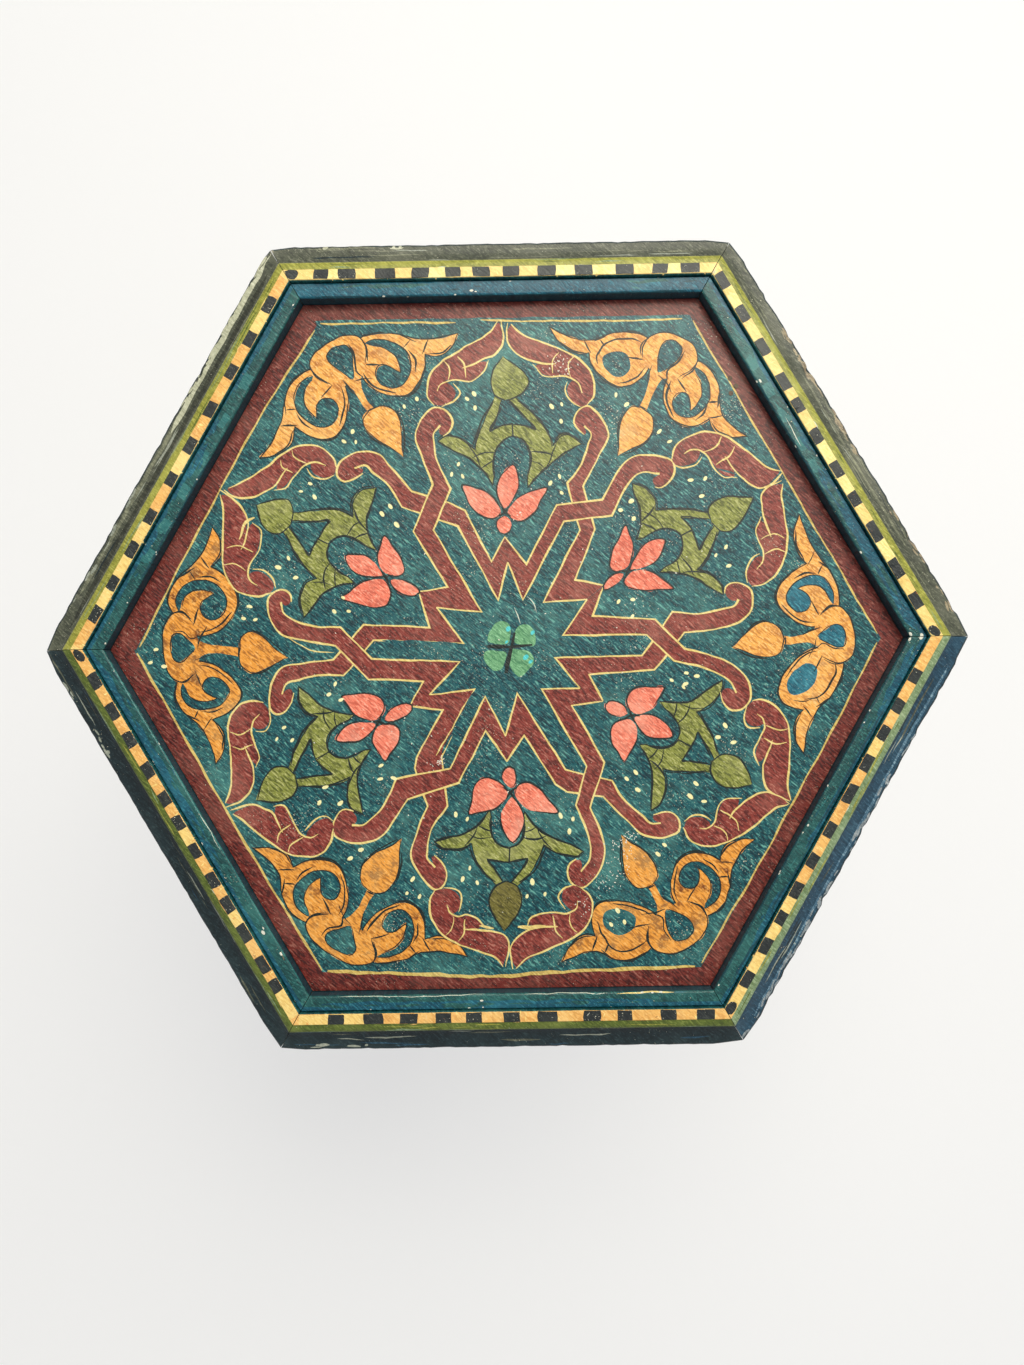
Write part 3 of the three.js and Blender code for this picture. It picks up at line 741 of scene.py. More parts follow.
# The quatrefoil in the middle of the star, and its dark cross: points, width, and shares left at the tips
CENTRE_PETALS = (
    [(-8.5, 1.2), (-8.3, 4.5), (-5.8, 9.2), (-2.2, 10.8), (1.2, 9.6), (2.2, 6), (1.6, 0.6), (-3.5, -0.4),
     (-8.5, 1.2)],
    [(4.4, 0.2), (4.6, 5), (7.2, 8.8), (10.8, 9.2), (13.2, 6.6), (14, 2.4), (13, -1), (8, -0.8), (4.4, 0.2)],
    [(-0.2, -4), (-5, -3.2), (-10, -3.4), (-10.6, -7), (-8.4, -11), (-5.4, -13.2), (-2.2, -12.4),
     (-0.8, -8.6), (-0.2, -4)],
    [(2, -3.4), (6.5, -3), (10.4, -3.6), (12.8, -6), (12.4, -10.6), (9.6, -13.6), (6.6, -16.4), (3.4, -14),
     (1.2, -9), (2, -3.4)],
)
CENTRE_DABS = (((0.9, 7.2), 1.5), ((13, 5.3), 1.2), ((9.4, -6.6), 1.6), ((0.2, 0.6), 0.9),
               ((11.8, -8.8), 1.2))
CENTRE_CROSS = (
    ([(4.4, 5.4), (2.4, -1.5), (0.8, -8), (-0.4, -14)], 1.9, 0.6, 0.7),
    ([(-9.2, -1.2), (-4, -1.5), (0, -1.3)], 2, 0.5, 0.8),
    ([(0, -1.8), (6, -1.3), (12.7, -0.6)], 1.6, 0.9, 0.6),
)
CENTRE_SCRATCHES = ([(4.4, 17.5), (6, 13.5), (7, 9.5)], [(10.4, 23), (13.6, 19.6), (15, 15.2)])

# Along each side, as (right, out) points: where the field ends, the cream line's pieces, and its width
FIELD_EDGES = (
    [(-90.5, 158.8), (90.5, 158.4)],
    [(-91, 158.6), (0, 157.9), (90.5, 156.9)],
    [(-90, 157), (0, 158.9), (90.5, 158.2)],
    [(-90.5, 157.6), (-25, 159.4), (10, 161.1), (45, 159.5), (90, 157.4)],
    [(-90.6, 157.9), (0, 158.1), (89.6, 156.6)],
    [(-89.6, 155.4), (-30, 157.4), (20, 158.7), (90.4, 156)],
)
EDGE_LINES = (
    (([(-88, 157.2), (-22, 156.6)], [(-10, 157.6), (40, 156.2), (88, 156.6)]), 0.9),
    (([(-88, 158.4), (0, 157.6), (88, 156.6)],), 0.8),
    (([(-88, 156.8), (0, 158.6), (89, 157.8)],), 0.9),
    (([(-89, 157.2), (-25, 158.8), (10, 160.6), (45, 159), (89, 157)],), 1.6),
    (([(-90, 157.6), (0, 157.8), (88, 156.2)],), 1.1),
    (([(-88, 155), (-30, 157), (20, 158.4), (88, 155.6)],), 0.9),
)

# Extra brush lines and scuffs: sector's angle, points, paint, width
STRAY_LINES = (
    (-90, [(18.5, 26), (34.6, 54)], "line_cream", 0.7),
    (-150, [(-29.5, 53.6), (-11.6, 24.6)], "field_teal", 1.7),
    (-150, [(39.5, 74), (46, 83), (57.5, 89.5)], "line_cream", 0.6),
    (150, [(-28, 53.5), (-10.8, 18.6)], "field_teal", 1.6),
    (-90, [(-17, 136.6), (-9, 137.2), (-3.5, 137)], "line_cream", 2),
    (-90, [(8, 137.6), (15, 136)], "line_cream", 1.7),
    (150, [(-19, 138), (-10, 139), (-6, 136.8)], "line_cream", 1.5),
    (30, [(-13, 138), (-20, 131.5)], "field_teal", 1),
)
# Clusters of pale specks where the varnish is scuffed: angle, centre, spread, count
SCUFFS = (
    (-60, (0, 110.5), (7, 3.2), 40), (-60, (15, 124), (9, 4), 34), (-60, (33, 127), (5, 5), 16),
    (-60, (4, 116), (10, 5), 18), (90, (30, 135), (8, 7), 46), (90, (6, 62), (3, 3), 5),
    (-90, (33.5, 57), (3.6, 2), 16), (-150, (-33, 58), (1.8, 3), 12), (180, (-50, 60), (30, 30), 20),
    (0, (-20, 60), (40, 40), 26), (60, (0, 60), (50, 50), 26), (-120, (0, 75), (50, 40), 26),
)


def strap_lines(k, over):
    """Outer line, inner line and band of half of side k's strap: the over half goes right, the under left."""
    left_notch, left_tip, spike, right_tip, right_notch, peak = STAR[k]
    if over:
        n, flip, marks, bends = (k + 1) % 6, np.array, LEFT_STRAPS, RIGHT_BENDS[k]
        starts = ((peak, right_notch), (spike, right_tip))
    else:
        n, flip, marks, bends = (k - 1) % 6, mirrored, RIGHT_STRAPS, LEFT_BENDS[k]
        starts = ((peak, left_notch), (spike, left_tip))
    carry = carrier(flip(STRAP_MARKS), marks[n], SIDE_ANGLES[n])
    runs = (STRAP_OUTER, STRAP_INNER, STRAP_OUTER[:8] + CURL_END)
    outer, inner, curl = (carry(flip(smooth(run))) for run in runs)
    arms = [
        straight(joined(start, turned(bend, SIDE_ANGLES[k]), curve[:1]))
        for start, bend, curve in zip(starts, bends, (outer, inner))
    ]
    band = joined(arms[0], curl, inner[::-1], arms[1][::-1])
    return joined(arms[0], outer), joined(arms[1], inner), band


def paint_strap(design, k, over):
    """Half of one side's strap: maroon band with a cream line down both edges."""
    outer, inner, band = strap_lines(k, over)
    design.fill(band, "strap_maroon", 0.12)
    design.line(outer, "line_cream", LINE, 0.7, 0.5, 0.12)
    design.line(inner, "line_cream", LINE, 0.7, 1.25, 0.12)


def paint_feathers(design, k):
    """The half palm leaves on top of the two straps that curl at side k."""
    for flip, places in ((np.array, LEFT_FEATHERS[k]), (mirrored, RIGHT_FEATHERS[k])):
        carry = carrier(flip(FEATHER_MARKS), places, SIDE_ANGLES[k])
        design.fill(carry(flip(smooth(FEATHER_FILL))), "strap_maroon")
        for number, line in enumerate(FEATHER_LINES):
            width = LINE if number < 2 else LINE * 0.85
            design.line(carry(flip(smooth(line))), "line_cream", width, 0.4, 0.4)


def paint_plant(design, k):
    """The green bud, its two stems and the leaf on each side."""
    carry = carrier(PLANT_MARKS, PLANTS[k], SIDE_ANGLES[k])
    outline = joined(*(smooth(run) for run in PLANT_RUNS))
    for flip in (np.array, mirrored):
        design.outlined(carry(flip(outline)), "leaf_green", 0.7)
        for ink in PLANT_INKS:
            design.ink(carry(flip(smooth(ink))), hand.uniform(0.7, 1.1), 0.25, 0.4)
    carry = carrier(BUD_MARKS, BUDS[k], SIDE_ANGLES[k])
    left, right = smooth(BUD[:6]), smooth(BUD[5:])
    design.fill(carry(joined(left, right)), "leaf_brown" if k == 3 else "leaf_green")
    design.ink(carry(left), 0.85, 0.3, 0.7)
    design.ink(carry(right), 0.85, 0.7, 0.3)


def paint_flower(design, k):
    """The coral flower: three long petals, a small one towards the star, and its dark joint."""
    carry = carrier(FLOWER_MARKS, FLOWERS[k], SIDE_ANGLES[k])
    for petal in (PETAL_TOP, PETAL_RIGHT, mirrored(PETAL_RIGHT), PETAL_SMALL):
        shape = carry(smooth(petal))
        design.fill(shape, "petal_coral")
        design.ink(shape[: hand.randint(len(shape) * 4 // 5, len(shape))], 0.85)
    for cross in FLOWER_CROSS:
        design.line(carry(smooth(cross)), "ink", 1.3, 0.3, 0.3)


def paint_palmette(design, carry, corner=None):
    """The orange corner arabesque; carry takes it from its own frame to where it is painted."""
    hole_paint = "field_blue" if corner == 1 else "field_teal"
    paint = "palmette_burnt" if corner in (2, 3, 4) else "palmette_orange"
    ring = joined(smooth(RING), smooth(RING_TAIL), smooth(RING_UNDER))
    for side, flip in ((1, np.array), (-1, mirrored)):
        design.outlined(carry(flip(ring)), paint, 0.7, 0.4)
        if (corner, side) in ROUND_HOLED:
            design.fill(carry(flip(smooth(ROUND_HOLE))), hole_paint)
            design.ink(carry(flip(smooth(RING_GROOVE))))
        else:
            design.outlined(carry(flip(smooth(OPEN_HOLE))), hole_paint, 0.6)
        for ink in RING_INKS:
            design.ink(carry(flip(smooth(ink))), hand.uniform(0.7, 1.1), 0.2)
    design.fill(carry(smooth(OMEGA)), paint)
    design.ink(carry(smooth(OMEGA[:9])), 0.7)
    design.fill(carry(joined(smooth(STEM), smooth(mirrored(STEM)[::-1]))), paint)
    design.outlined(carry(smooth(DROP)), hole_paint, 0.6)
    design.outlined(carry(joined(smooth(TEARDROP[:6]), smooth(TEARDROP[5:]))), paint, 0.6)
    for ink in MIDDLE_INKS:
        design.ink(carry(smooth(ink)), hand.uniform(0.7, 1.1), 0.2)


def paint_centre(design):
    """The four green petals in the middle of the star, with the dark cross and turquoise dabs."""
    for petal in CENTRE_PETALS:
        design.fill(smooth(petal, 1.2), "centre_green", 0.25)
    for dab, width in CENTRE_DABS:
        design.fill(oval(dab, width, width * 0.7, 50), "turquoise_dab", 0.2)
    for points, width, start, end in CENTRE_CROSS:
        design.line(points, "ink", width, start, end, 0.2)
    for scratch in CENTRE_SCRATCHES:
        design.line(smooth(scratch), "line_pale", 0.5, 0.2, 0.2)


def paint_dots(design, k):
    """The cream dots of side k and of the corner after it."""
    for places, angle in ((SIDE_DOTS[k], SIDE_ANGLES[k]), (CORNER_DOTS[k], CORNER_ANGLES[k])):
        for place in places:
            size = hand.uniform(0.8, 1.2)
            dot = oval((0, 0), 0.85 * size, 1.35 * size, hand.uniform(-40, 40))
            design.fill(turned(shifted(dot, place), angle), "dot_cream", 0.25)


def paint_border(design):
    """The maroon border, the teal field and the thin cream line along its edge."""
    design.fill(hexagon(PANEL_EDGE), "border_maroon", 0)
    field = [turned(smooth(side, 5), angle) for side, angle in zip(FIELD_EDGES, SIDE_ANGLES)]
    design.fill(joined(*field), "field_teal", 0.15)
    for angle, (pieces, width) in zip(SIDE_ANGLES, EDGE_LINES):
        for piece in pieces:
            design.line(turned(smooth(piece, 5), angle), "line_gold", width, 0.5, 0.5, 0.2)


def paint_scuffs(design):
    """Second tries of the brush, and specks where the varnish is scuffed."""
    for angle, points, paint, width in STRAY_LINES:
        design.line(turned(smooth(points), angle), paint, width, 0.3, 0.3)
    for angle, centre, spread, count in SCUFFS:
        for _ in range(count):
            x = centre[0] + spread[0] * hand.gauss(0, 0.6)
            y = centre[1] + spread[1] * hand.gauss(0, 0.6)
            size = hand.uniform(0.14, 0.3)
            speck = oval((x, y), size, size * hand.uniform(1, 2.2), hand.uniform(-70, 70), 6)
            design.fill(turned(speck, angle), "chip_white", 0.1)


def top_design():
    """Everything painted on the sunk panel, lowest coat first."""
    design = Design()
    paint_border(design)
    for k in range(6):
        paint_palmette(design, carrier(PALMETTE_MARKS, PALMETTES[k], CORNER_ANGLES[k]), k)
    for k in range(6):
        paint_plant(design, k)
    for over in (False, True):
        for k in range(6):
            paint_strap(design, k, over)
    for k in range(6):
        paint_feathers(design, k)
    for k in range(6):
        paint_flower(design, k)
        paint_dots(design, k)
    paint_centre(design)
    paint_scuffs(design)
    return design


# Panel, rim, fillet and neck
def build_panel():
    """The sunk panel: painted face, plain edge with its tongue, bare underside."""
    flat, faces, paints = cut_up(top_design())
    places = [(x, y, PANEL_TOP) for x, y in flat]
    body, ledge = RIM_INNER - FIT_GAP, PANEL_TOP - REBATE
    rings = (
        (PANEL_EDGE, PANEL_TOP), (PANEL_EDGE, ledge), (body, ledge), (body, TONGUE_TOP),
        (TONGUE_TIP, TONGUE_TOP), (TONGUE_TIP, TONGUE_BOTTOM), (body, TONGUE_BOTTOM), (body, PANEL_UNDER),
    )
    loops = [[(x, y, height) for x, y in hexagon(apothem)] for apothem, height in rings]
    join_loops(places, faces, loops)
    paints += ["turned_pine_0"] * (len(faces) - len(paints))
    place_piece(write_mesh("painted_panel", places, faces, paints), "top_panel")


def rim_profile():
    """The rim's section, and the number of the point where each of its members ends."""
    low, high, back = TONGUE_BOTTOM - FIT_GAP, TONGUE_TOP + FIT_GAP, RIM_INNER + GROOVE_DEPTH
    bead, cove = (BEAD_INNER, BEAD_TOP), (COVE_INNER, COVE_TOP)
    lip, wall = (RIM_OUTER - LIP_ROUND, LIP_TOP), (RIM_OUTER, LIP_TOP - LIP_ROUND)
    foot, under = (RIM_OUTER, PANEL_UNDER + RIM_FOOT_ROUND), (RIM_OUTER - RIM_FOOT_ROUND, PANEL_UNDER)
    members = {
        "groove": [(back, low), (back, high), (RIM_INNER, high)],
        "inner wall": [(RIM_INNER, RIM_TOP - 0.7), (RIM_INNER + 0.6, RIM_TOP)],
        "band": [(BEAD_INNER, RIM_TOP), bead],
        "bead": quarter(bead, (COVE_INNER, BEAD_FOOT)) + [cove],
        "cove": quarter(cove, (COVE_OUTER, LIP_TOP), False),
        "lip": [lip] + quarter(lip, wall, True, 5),
        "outer wall": [foot] + quarter(foot, under, False, 6),
        "underside": [(RIM_INNER, PANEL_UNDER), (RIM_INNER, low)],
    }
    profile = []
    last = {}
    for name, points in members.items():
        profile += points
        last[name] = len(profile) - 1
    return profile, last


# Dark squares of the checker band on each side: (left, right) ends in millimetres from the middle
CHECKERS = (
    ((-89, -82), (-77, -69), (-59.5, -50), (-42, -34), (-26, -19), (-13, -5), (1.5, 9), (18, 26.5),
     (35.5, 44), (55, 63.5), (72.5, 80), (86, 95)),
    ((-99, -91), (-80.5, -72.5), (-62, -54), (-43, -34.5), (-29, -22), (-12, -5), (6, 14), (23, 30),
     (39.5, 49.5), (60, 69.5), (78.5, 86.5)),
    ((-84, -77), (-67.5, -61), (-53, -46), (-37.5, -29), (-21.5, -12), (-1, 6.5), (16, 23), (31.5, 39.5),
     (47, 54), (61.5, 69.5), (79.5, 87.5)),
    ((-96, -87.5), (-78, -70.5), (-57, -50), (-42, -34), (-21.5, -12.5), (-4, 4), (14, 21.5), (28.5, 36),
     (44.5, 53), (61, 70), (79.5, 87)),
    ((-86.5, -80), (-76, -67.5), (-59, -50), (-43, -35), (-29, -21.5), (-12.5, -5.5), (3, 10), (16, 23),
     (31.5, 39), (48.5, 56), (64, 72), (81, 88.5)),
    ((-87, -79), (-69.5, -62.5), (-51.5, -44), (-33.5, -26), (-13, -6), (5, 13), (25, 32.5), (45.5, 53),
     (63.5, 71), (82, 90)),
)
STRAW_BAND = ("checker_cream", "checker_cream", "checker_straw")
AMBER_BAND = ("checker_amber", "checker_cream", "checker_amber")
BAND_PAINTS = (STRAW_BAND, STRAW_BAND, AMBER_BAND, AMBER_BAND, AMBER_BAND,
               ("checker_cream", "checker_amber"))
BLOTTED_ENDS = ((-1,), (1,), (1,), (), (1,), ())  # ends of each side's band that finish in a dark blot
LIP_DAMAGE = (0.5, 1.1, 1.2, 0.5, 0.5, 0.7)  # how far each side's lip is worn back, in mm
CORNER_WEAR = (1.5, 1.1, 1.7, 1.1, 1.5, 1.3)  # how far each outer corner is rounded off, in mm
# Each side's cove and bead paint is painted light: the grey cove and straw bead are painted sheen on the
# sides towards the light, the blue cove and sage bead of side 3 a painted reflection of the sky, and the navy
# cove and olive bead the shaded sides.
COVE_PAINTED_SHEEN = ("cove_grey", "cove_grey", "cove_blue", "cove_navy", "cove_navy", "cove_grey")
BEAD_PAINTED_LIGHT = ("bead_straw", "bead_straw", "bead_sage", "bead_olive", "bead_olive", "bead_straw")
BEAD_STREAKS = ("bead_olive", "bead_straw", "bead_sage")
COVE_STREAKS = {
    "cove_grey": ("cove_navy", "cove_grey", "cove_dust", "cove_dust"),
    "cove_blue": ("cove_navy", "cove_blue", "cove_blue", "cove_grey"),
    "cove_navy": ("cove_navy", "cove_navy", "cove_blue", "cove_grey"),
}
# Runs of each side's lip whose paint has flaked: left, right, what shows, how many flakes
LIP_FLAKES = (
    ((-52, -48, "lip_pale", 3), (-87, -84, "lip_pale", 1)),
    ((-62, 8, "lip_brown", 36), (40, 98, "lip_brown", 12)),
    ((-57, 110, "lip_haze", 46),),
    ((60, 100, "cove_worn", 5),),
    ((50, 99, "cove_worn", 8),),
    ((25, 110, "lip_pale", 60), (-90, -20, "cove_worn", 10)),
)
# Strokes along the lip: left, right, how far inside the edge, paint, width. The pale ones are painted
# highlights along the cove and lip, side 3's is a painted reflection of the sky, and side 6's dark umber one
# is a painted shade band in the cove.
LIP_STROKES = (
    (), ((-40, 60, 2.6, "cove_dust", 1.1),), ((-94, 98, 0.8, "cove_sky", 1.3),), (), (),
    ((-80, 30, 0.6, "cove_dust", 1.6), (10, 104, 0.5, "lip_pale", 2.2), (-96, 100, 4.6, "cove_umber", 2.6)),
)


def checker_square(left, right, low, high):
    """A hand-painted square between two ends, a little slanted, with its corners just off."""
    lean = hand.uniform(-0.6, 0.6)
    base = low + hand.uniform(0.0, 0.3)
    top = high - hand.uniform(0.0, 0.3)
    bulge = hand.uniform(-0.2, 0.4)
    points = [
        (left - lean / 2, base + 0.25),
        (left - lean / 2 + 0.3, base),
        (right - lean / 2 - 0.3, base),
        (right - lean / 2, base + 0.3),
        (right + bulge, (base + top) / 2),
        (right + lean / 2, top - 0.3),
        (right + lean / 2 - 0.3, top),
        (left + lean / 2 + 0.3, top),
        (left + lean / 2, top - 0.35),
        (left - bulge, (base + top) / 2),
    ]
    return straight(points + points[:1], 1.6)[:-1]


def paint_checker(design, k, low, high, reach):
    """The band's own brushed cream, then its dark squares and the blots at its ends."""
    ends = [-reach] + [(left + right) / 2 for left, right in CHECKERS[k]] + [reach]
    for left, right in zip(ends, ends[1:]):
        paint = hand.choice(BAND_PAINTS[k])
        design.fill(checker_square(left, right, low - 0.1, high + 0.1), paint, 0.1)
        for _ in range(3):
            place = hand.uniform(left, right)
            top = hand.uniform(low + 1, high)
            line = straight([(place, top), (place + hand.uniform(-1, 1), top - hand.uniform(1, 3))], 1)
            paint = hand.choice(BAND_PAINTS[k] + ("checker_straw",))
            design.line(line, paint, hand.uniform(0.4, 1.1), 0.2, 0.2, 0.1)
    for left, right in CHECKERS[k]:
        design.fill(checker_square(left, right, low, high), "checker_charcoal", 0.1)
    for end in BLOTTED_ENDS[k]:
        blot = oval((end * (reach - 1.5), (low + high) / 2), 3.6, 2.3, hand.uniform(-12, 12))
        design.fill(blot, "checker_charcoal", 0.35)


def paint_lip(design, k, edge):
    """Strokes of painted highlight, sky reflection and shade along the outer lip, then flakes and rubbed
    places.
    """
    for left, right, inside, paint, width in LIP_STROKES[k]:
        design.line(level(left, right, edge - inside), paint, width, 0.1, 0.1)
    for left, right, paint, count in LIP_FLAKES[k]:
        for _ in range(count):
            place = (hand.uniform(left, right), edge + hand.uniform(-0.4, 1.6))
            design.fill(oval(place, hand.uniform(0.8, 3.6), hand.uniform(0.25, 0.8), 0, 9), paint, 0.25)


def paint_rim(moulding, k, at):
    """The coats of the rim's members, then the marks of the brush and of use on them."""
    design, band, bead, cove = moulding.design, at["band"], at["bead"], at["cove"]
    inside = at["inner wall"]
    moulding.band(0, moulding.run[-1], pine_along(k))
    moulding.band(at["groove"] + 0.6, inside - 0.4, "fillet_teal")
    moulding.band(inside - 0.4, band + 0.15, BAND_PAINTS[k][0])
    # The bead and cove coats differ by side as painted sheen and painted shade; the outer wall below them is
    # one navy all round.
    moulding.band(band + 0.15, bead - 0.2, BEAD_PAINTED_LIGHT[k])
    moulding.band(bead - 0.2, at["outer wall"] + 4, "cove_navy")
    moulding.band(bead - 0.2, cove + 1.2, COVE_PAINTED_SHEEN[k])
    paint_checker(design, k, inside - 0.3, band + 0.1, moulding.half_at(inside))
    edge_paints = (BEAD_PAINTED_LIGHT[k], BEAD_PAINTED_LIGHT[k], BAND_PAINTS[k][0], "line_pale")
    moulding.marks(12, (-95, 95), (2, 8), (band - 0.1, band + 0.4), 0.3, 2, edge_paints, (0.5,))
    moulding.marks(16, (-100, 90), (5, 24), (band + 0.9, bead - 0.5), 0.4, 4, BEAD_STREAKS, (0.3, 0.7))
    streaks = COVE_STREAKS[COVE_PAINTED_SHEEN[k]]
    moulding.marks(22, (-100, 85), (6, 34), (bead + 0.8, cove + 0.8), 0.5, 4, streaks, (0.3, 0.9))
    for _ in range(14 if BAND_PAINTS[k] == AMBER_BAND else 4):
        place, height = hand.uniform(-95, 95), hand.uniform(inside + 0.8, band - 0.8)
        scratch = [(place, height), (place + hand.uniform(-1.4, 1.4), height + hand.uniform(-1.5, 1.5))]
        design.line(straight(scratch, 1), hand.choice(("rust", "rust", "chip_white")), 0.35, 0.2, 0.2, 0.1)
    for _ in range(16):
        place = (hand.uniform(-98, 98), bead - 0.2)
        blot = oval(place, hand.uniform(1, 5), hand.uniform(0.25, 0.65), 0, 12)
        design.fill(blot, hand.choice((BEAD_PAINTED_LIGHT[k], COVE_PAINTED_SHEEN[k])), 0.3)
    for _ in range(4):
        place, height = hand.uniform(-90, 90), hand.uniform(bead + 2, cove - 1)
        drift = height + hand.uniform(-0.8, 0.8)
        rubbed = [(place, height), (place + 6, drift), (place + hand.uniform(9, 26), drift)]
        design.line(smooth(rubbed, 2), "cove_worn", 0.6, 0.05, 0.05)
    paint_lip(design, k, cove)


def build_rim(k):
    """One mitred rim length: checker band, bead, cove, lip and outer wall."""
    profile, last = rim_profile()
    moulding = Moulding(k, profile, 3)
    at = {name: moulding.run[number] for name, number in last.items()}
    paint_rim(moulding, k, at)
    reach = moulding.half_at(at["inner wall"])
    lip_middle = at["cove"] + (at["lip"] - at["cove"]) * 0.7

    def uneven(x, y, out, up):
        lip = near(y, lip_middle, 3.2)
        mitre = moulding.near_mitre(x, y, 3)
        worn = LIP_DAMAGE[k] * (0.5 + 0.5 * waves(x, 31 + k, 47, 19, 9.5, 6.7)) ** 2
        rounded = np.where(x > 0, CORNER_WEAR[k], CORNER_WEAR[k - 1]) * mitre
        out = out - (worn * (1 - mitre) + rounded) * lip
        up = up - 0.6 * worn * lip
        top = np.clip((up - RIM_TOP + 3) / 3, 0, 1)
        ends = np.clip((reach + 8 - np.abs(x)) / 12, 0, 1)
        up = up - top * (0.12 + 0.12 * waves(x, 51 + k, 61, 27, 11)) * ends
        edges = near(y, at["inner wall"], 0.9) + lip + 0.7 * near(y, at["bead"], 0.8)
        return out, up, np.clip(0.6 * edges + 0.9 * mitre, 0, 1)

    moulding.build("rim_length", "rim_moulding", uneven)


# Faint painted blocks left under the top coat of each fillet, and its larger chips: place, distance out, size
FILLET_BLOCKS = (
    (), ((-58, -51), (-43, -36), (-29, -22), (-13, -6), (0, 6)), (), (), (),
    ((-50, -43), (-34, -27), (-15, -8), (4, 11), (24, 31), (45, 53)),
)
FILLET_CHIPS = (
    ((-14, 169.5, 0.9), (-12, 168.9, 0.6)), ((98.6, 172, 1.5), (95, 167.6, 1.1), (50, 167.6, 0.8),
                                             (-45, 169, 1)),
    ((-98.6, 172, 1.5), (-95, 167.6, 1.1), (6, 168.2, 0.7), (10, 167.6, 0.5)),
    ((-71, 167.2, 0.9), (-67, 167.5, 0.7), (-62, 167.2, 0.8), (14, 169.8, 0.8)),
    ((-59, 170, 1.2), (-57.5, 169, 0.7), (-72, 168, 0.9)), ((92, 168, 0.6),),
)
# Strokes along each fillet: left, right, distance out, paint, width. The dark ones about 167 mm out, at the
# rounded inner edge, are painted shade; the pale ones there on sides 4 and 5 are painted highlights.
FILLET_STROKES = (
    ((-95, -20, 173, "fillet_blue", 1.3), (0, 95, 172.6, "fillet_blue", 1.1),
     (-90, 90, 167, "fillet_dark", 0.9)),
    ((5, 95, 170.6, "fillet_blue", 3), (-24, -8, 169.8, "line_pale", 0.35),
     (-90, 92, 167, "fillet_dark", 0.8)),
    ((-94, -62, 171, "fillet_blue", 2.2), (-60, 94, 172.8, "fillet_dark", 1),
     (-94, 94, 167.2, "fillet_dark", 0.7)),
    ((-78, -50, 167.3, "line_cream", 0.8), (-46, -6, 167.2, "line_pale", 0.35),
     (12, 82, 167.4, "line_pale", 0.25), (-60, 90, 171, "fillet_blue", 1.6)),
    ((-92, 92, 167.4, "fillet_pale", 0.6), (-15, 6, 167.6, "line_pale", 0.3),
     (-20, 60, 171, "fillet_blue", 2), (-75, -71, 168.2, "checker_amber", 0.9)),
    ((-95, 92, 172.9, "fillet_blue", 1), (-60, 10, 167.2, "fillet_dark", 0.8)),
)
NECK_BUD = [(0, -4.5), (-2.6, -1), (0, 4.5), (2.6, -1), (0, -4.5)]


def paint_fillet(moulding, k, start, end):
    """The fillet's coats, brush marks and chips, from its outer edge to its inner one."""
    design = moulding.design
    # The dark base coat, left showing on the inner wall below the rounded edge, is painted shade on that
    # wall.
    moulding.band(0, moulding.run[-1], "fillet_dark")
    moulding.band(start - 1, end, "fillet_teal" if k else "fillet_blue")
    moulding.band(start - 1, start + 2.4, "fillet_blue")
    for left, right in FILLET_BLOCKS[k]:
        design.fill(checker_square(left, right, start + 1.6, end - 1.2), "fillet_pale", 0.3)
    for left, right, out, paint, width in FILLET_STROKES[k]:
        design.line(level(left, right, end - (out - RECESS)), paint, width, 0.1, 0.1, 0.35)
    streaks = ("fillet_dark", "fillet_pale", "fillet_blue")
    moulding.marks(16, (-90, 90), (2, 7), (start + 2, end - 0.8), 0.6, 2, streaks, (0.3, 1.2))
    for _ in range(12):
        place = (hand.uniform(-92, 92), start + 2.4 + hand.uniform(-0.6, 0.6))
        patch = oval(place, hand.uniform(3, 9), hand.uniform(0.4, 1.1), 0, 14)
        design.fill(patch, hand.choice(("fillet_teal", "fillet_blue")), 0.4)
    for _ in range(6):
        place = hand.uniform(-96, 96)
        height = hand.choice((start + hand.uniform(0.2, 1), end - hand.uniform(0, 1.2)))
        chip = oval((place, height), hand.uniform(0.3, 0.8), hand.uniform(0.2, 0.4), 0, 7)
        design.fill(chip, "chip_white", 0.1)
    for place, out, size in FILLET_CHIPS[k]:
        design.fill(oval((place, end - (out - RECESS)), size, size * 0.55, 0, 8), "chip_white", 0.2)


def build_fillet(k):
    """One length of the teal strip between the rim and the panel."""
    outer, bottom, top = RIM_INNER - FIT_GAP, PANEL_TOP - REBATE + FIT_GAP, FILLET_TOP
    shoulder = (RECESS + FILLET_ROUND, top)
    profile = [(outer, bottom), (outer, top - 0.5), (outer - 0.5, top), shoulder]
    profile += quarter(shoulder, (RECESS, top - FILLET_ROUND), True, 5)
    profile += [(RECESS, PANEL_TOP + 0.2), (RECESS, bottom)]
    moulding = Moulding(k, profile, 5)
    start, end = moulding.run[1], moulding.run[7]  # the outer edge, and most of the way round the inner
    paint_fillet(moulding, k, start, end)
    reach = moulding.half.min()

    def uneven(x, y, out, up):
        ends = np.clip((reach - np.abs(x)) / 10, 0, 1)
        top_face = np.clip((up - top + 1.2) / 1.2, 0, 1)
        up = up - top_face * (0.12 + 0.12 * waves(x, 71 + k, 57, 21, 9)) * ends
        wear = 0.5 * near(y, end, 1.1) + 0.8 * moulding.near_mitre(x, y, 2.5)
        return out, up, np.clip(wear, 0, 1)

    moulding.build("fillet_length", "rim_fillet", uneven)


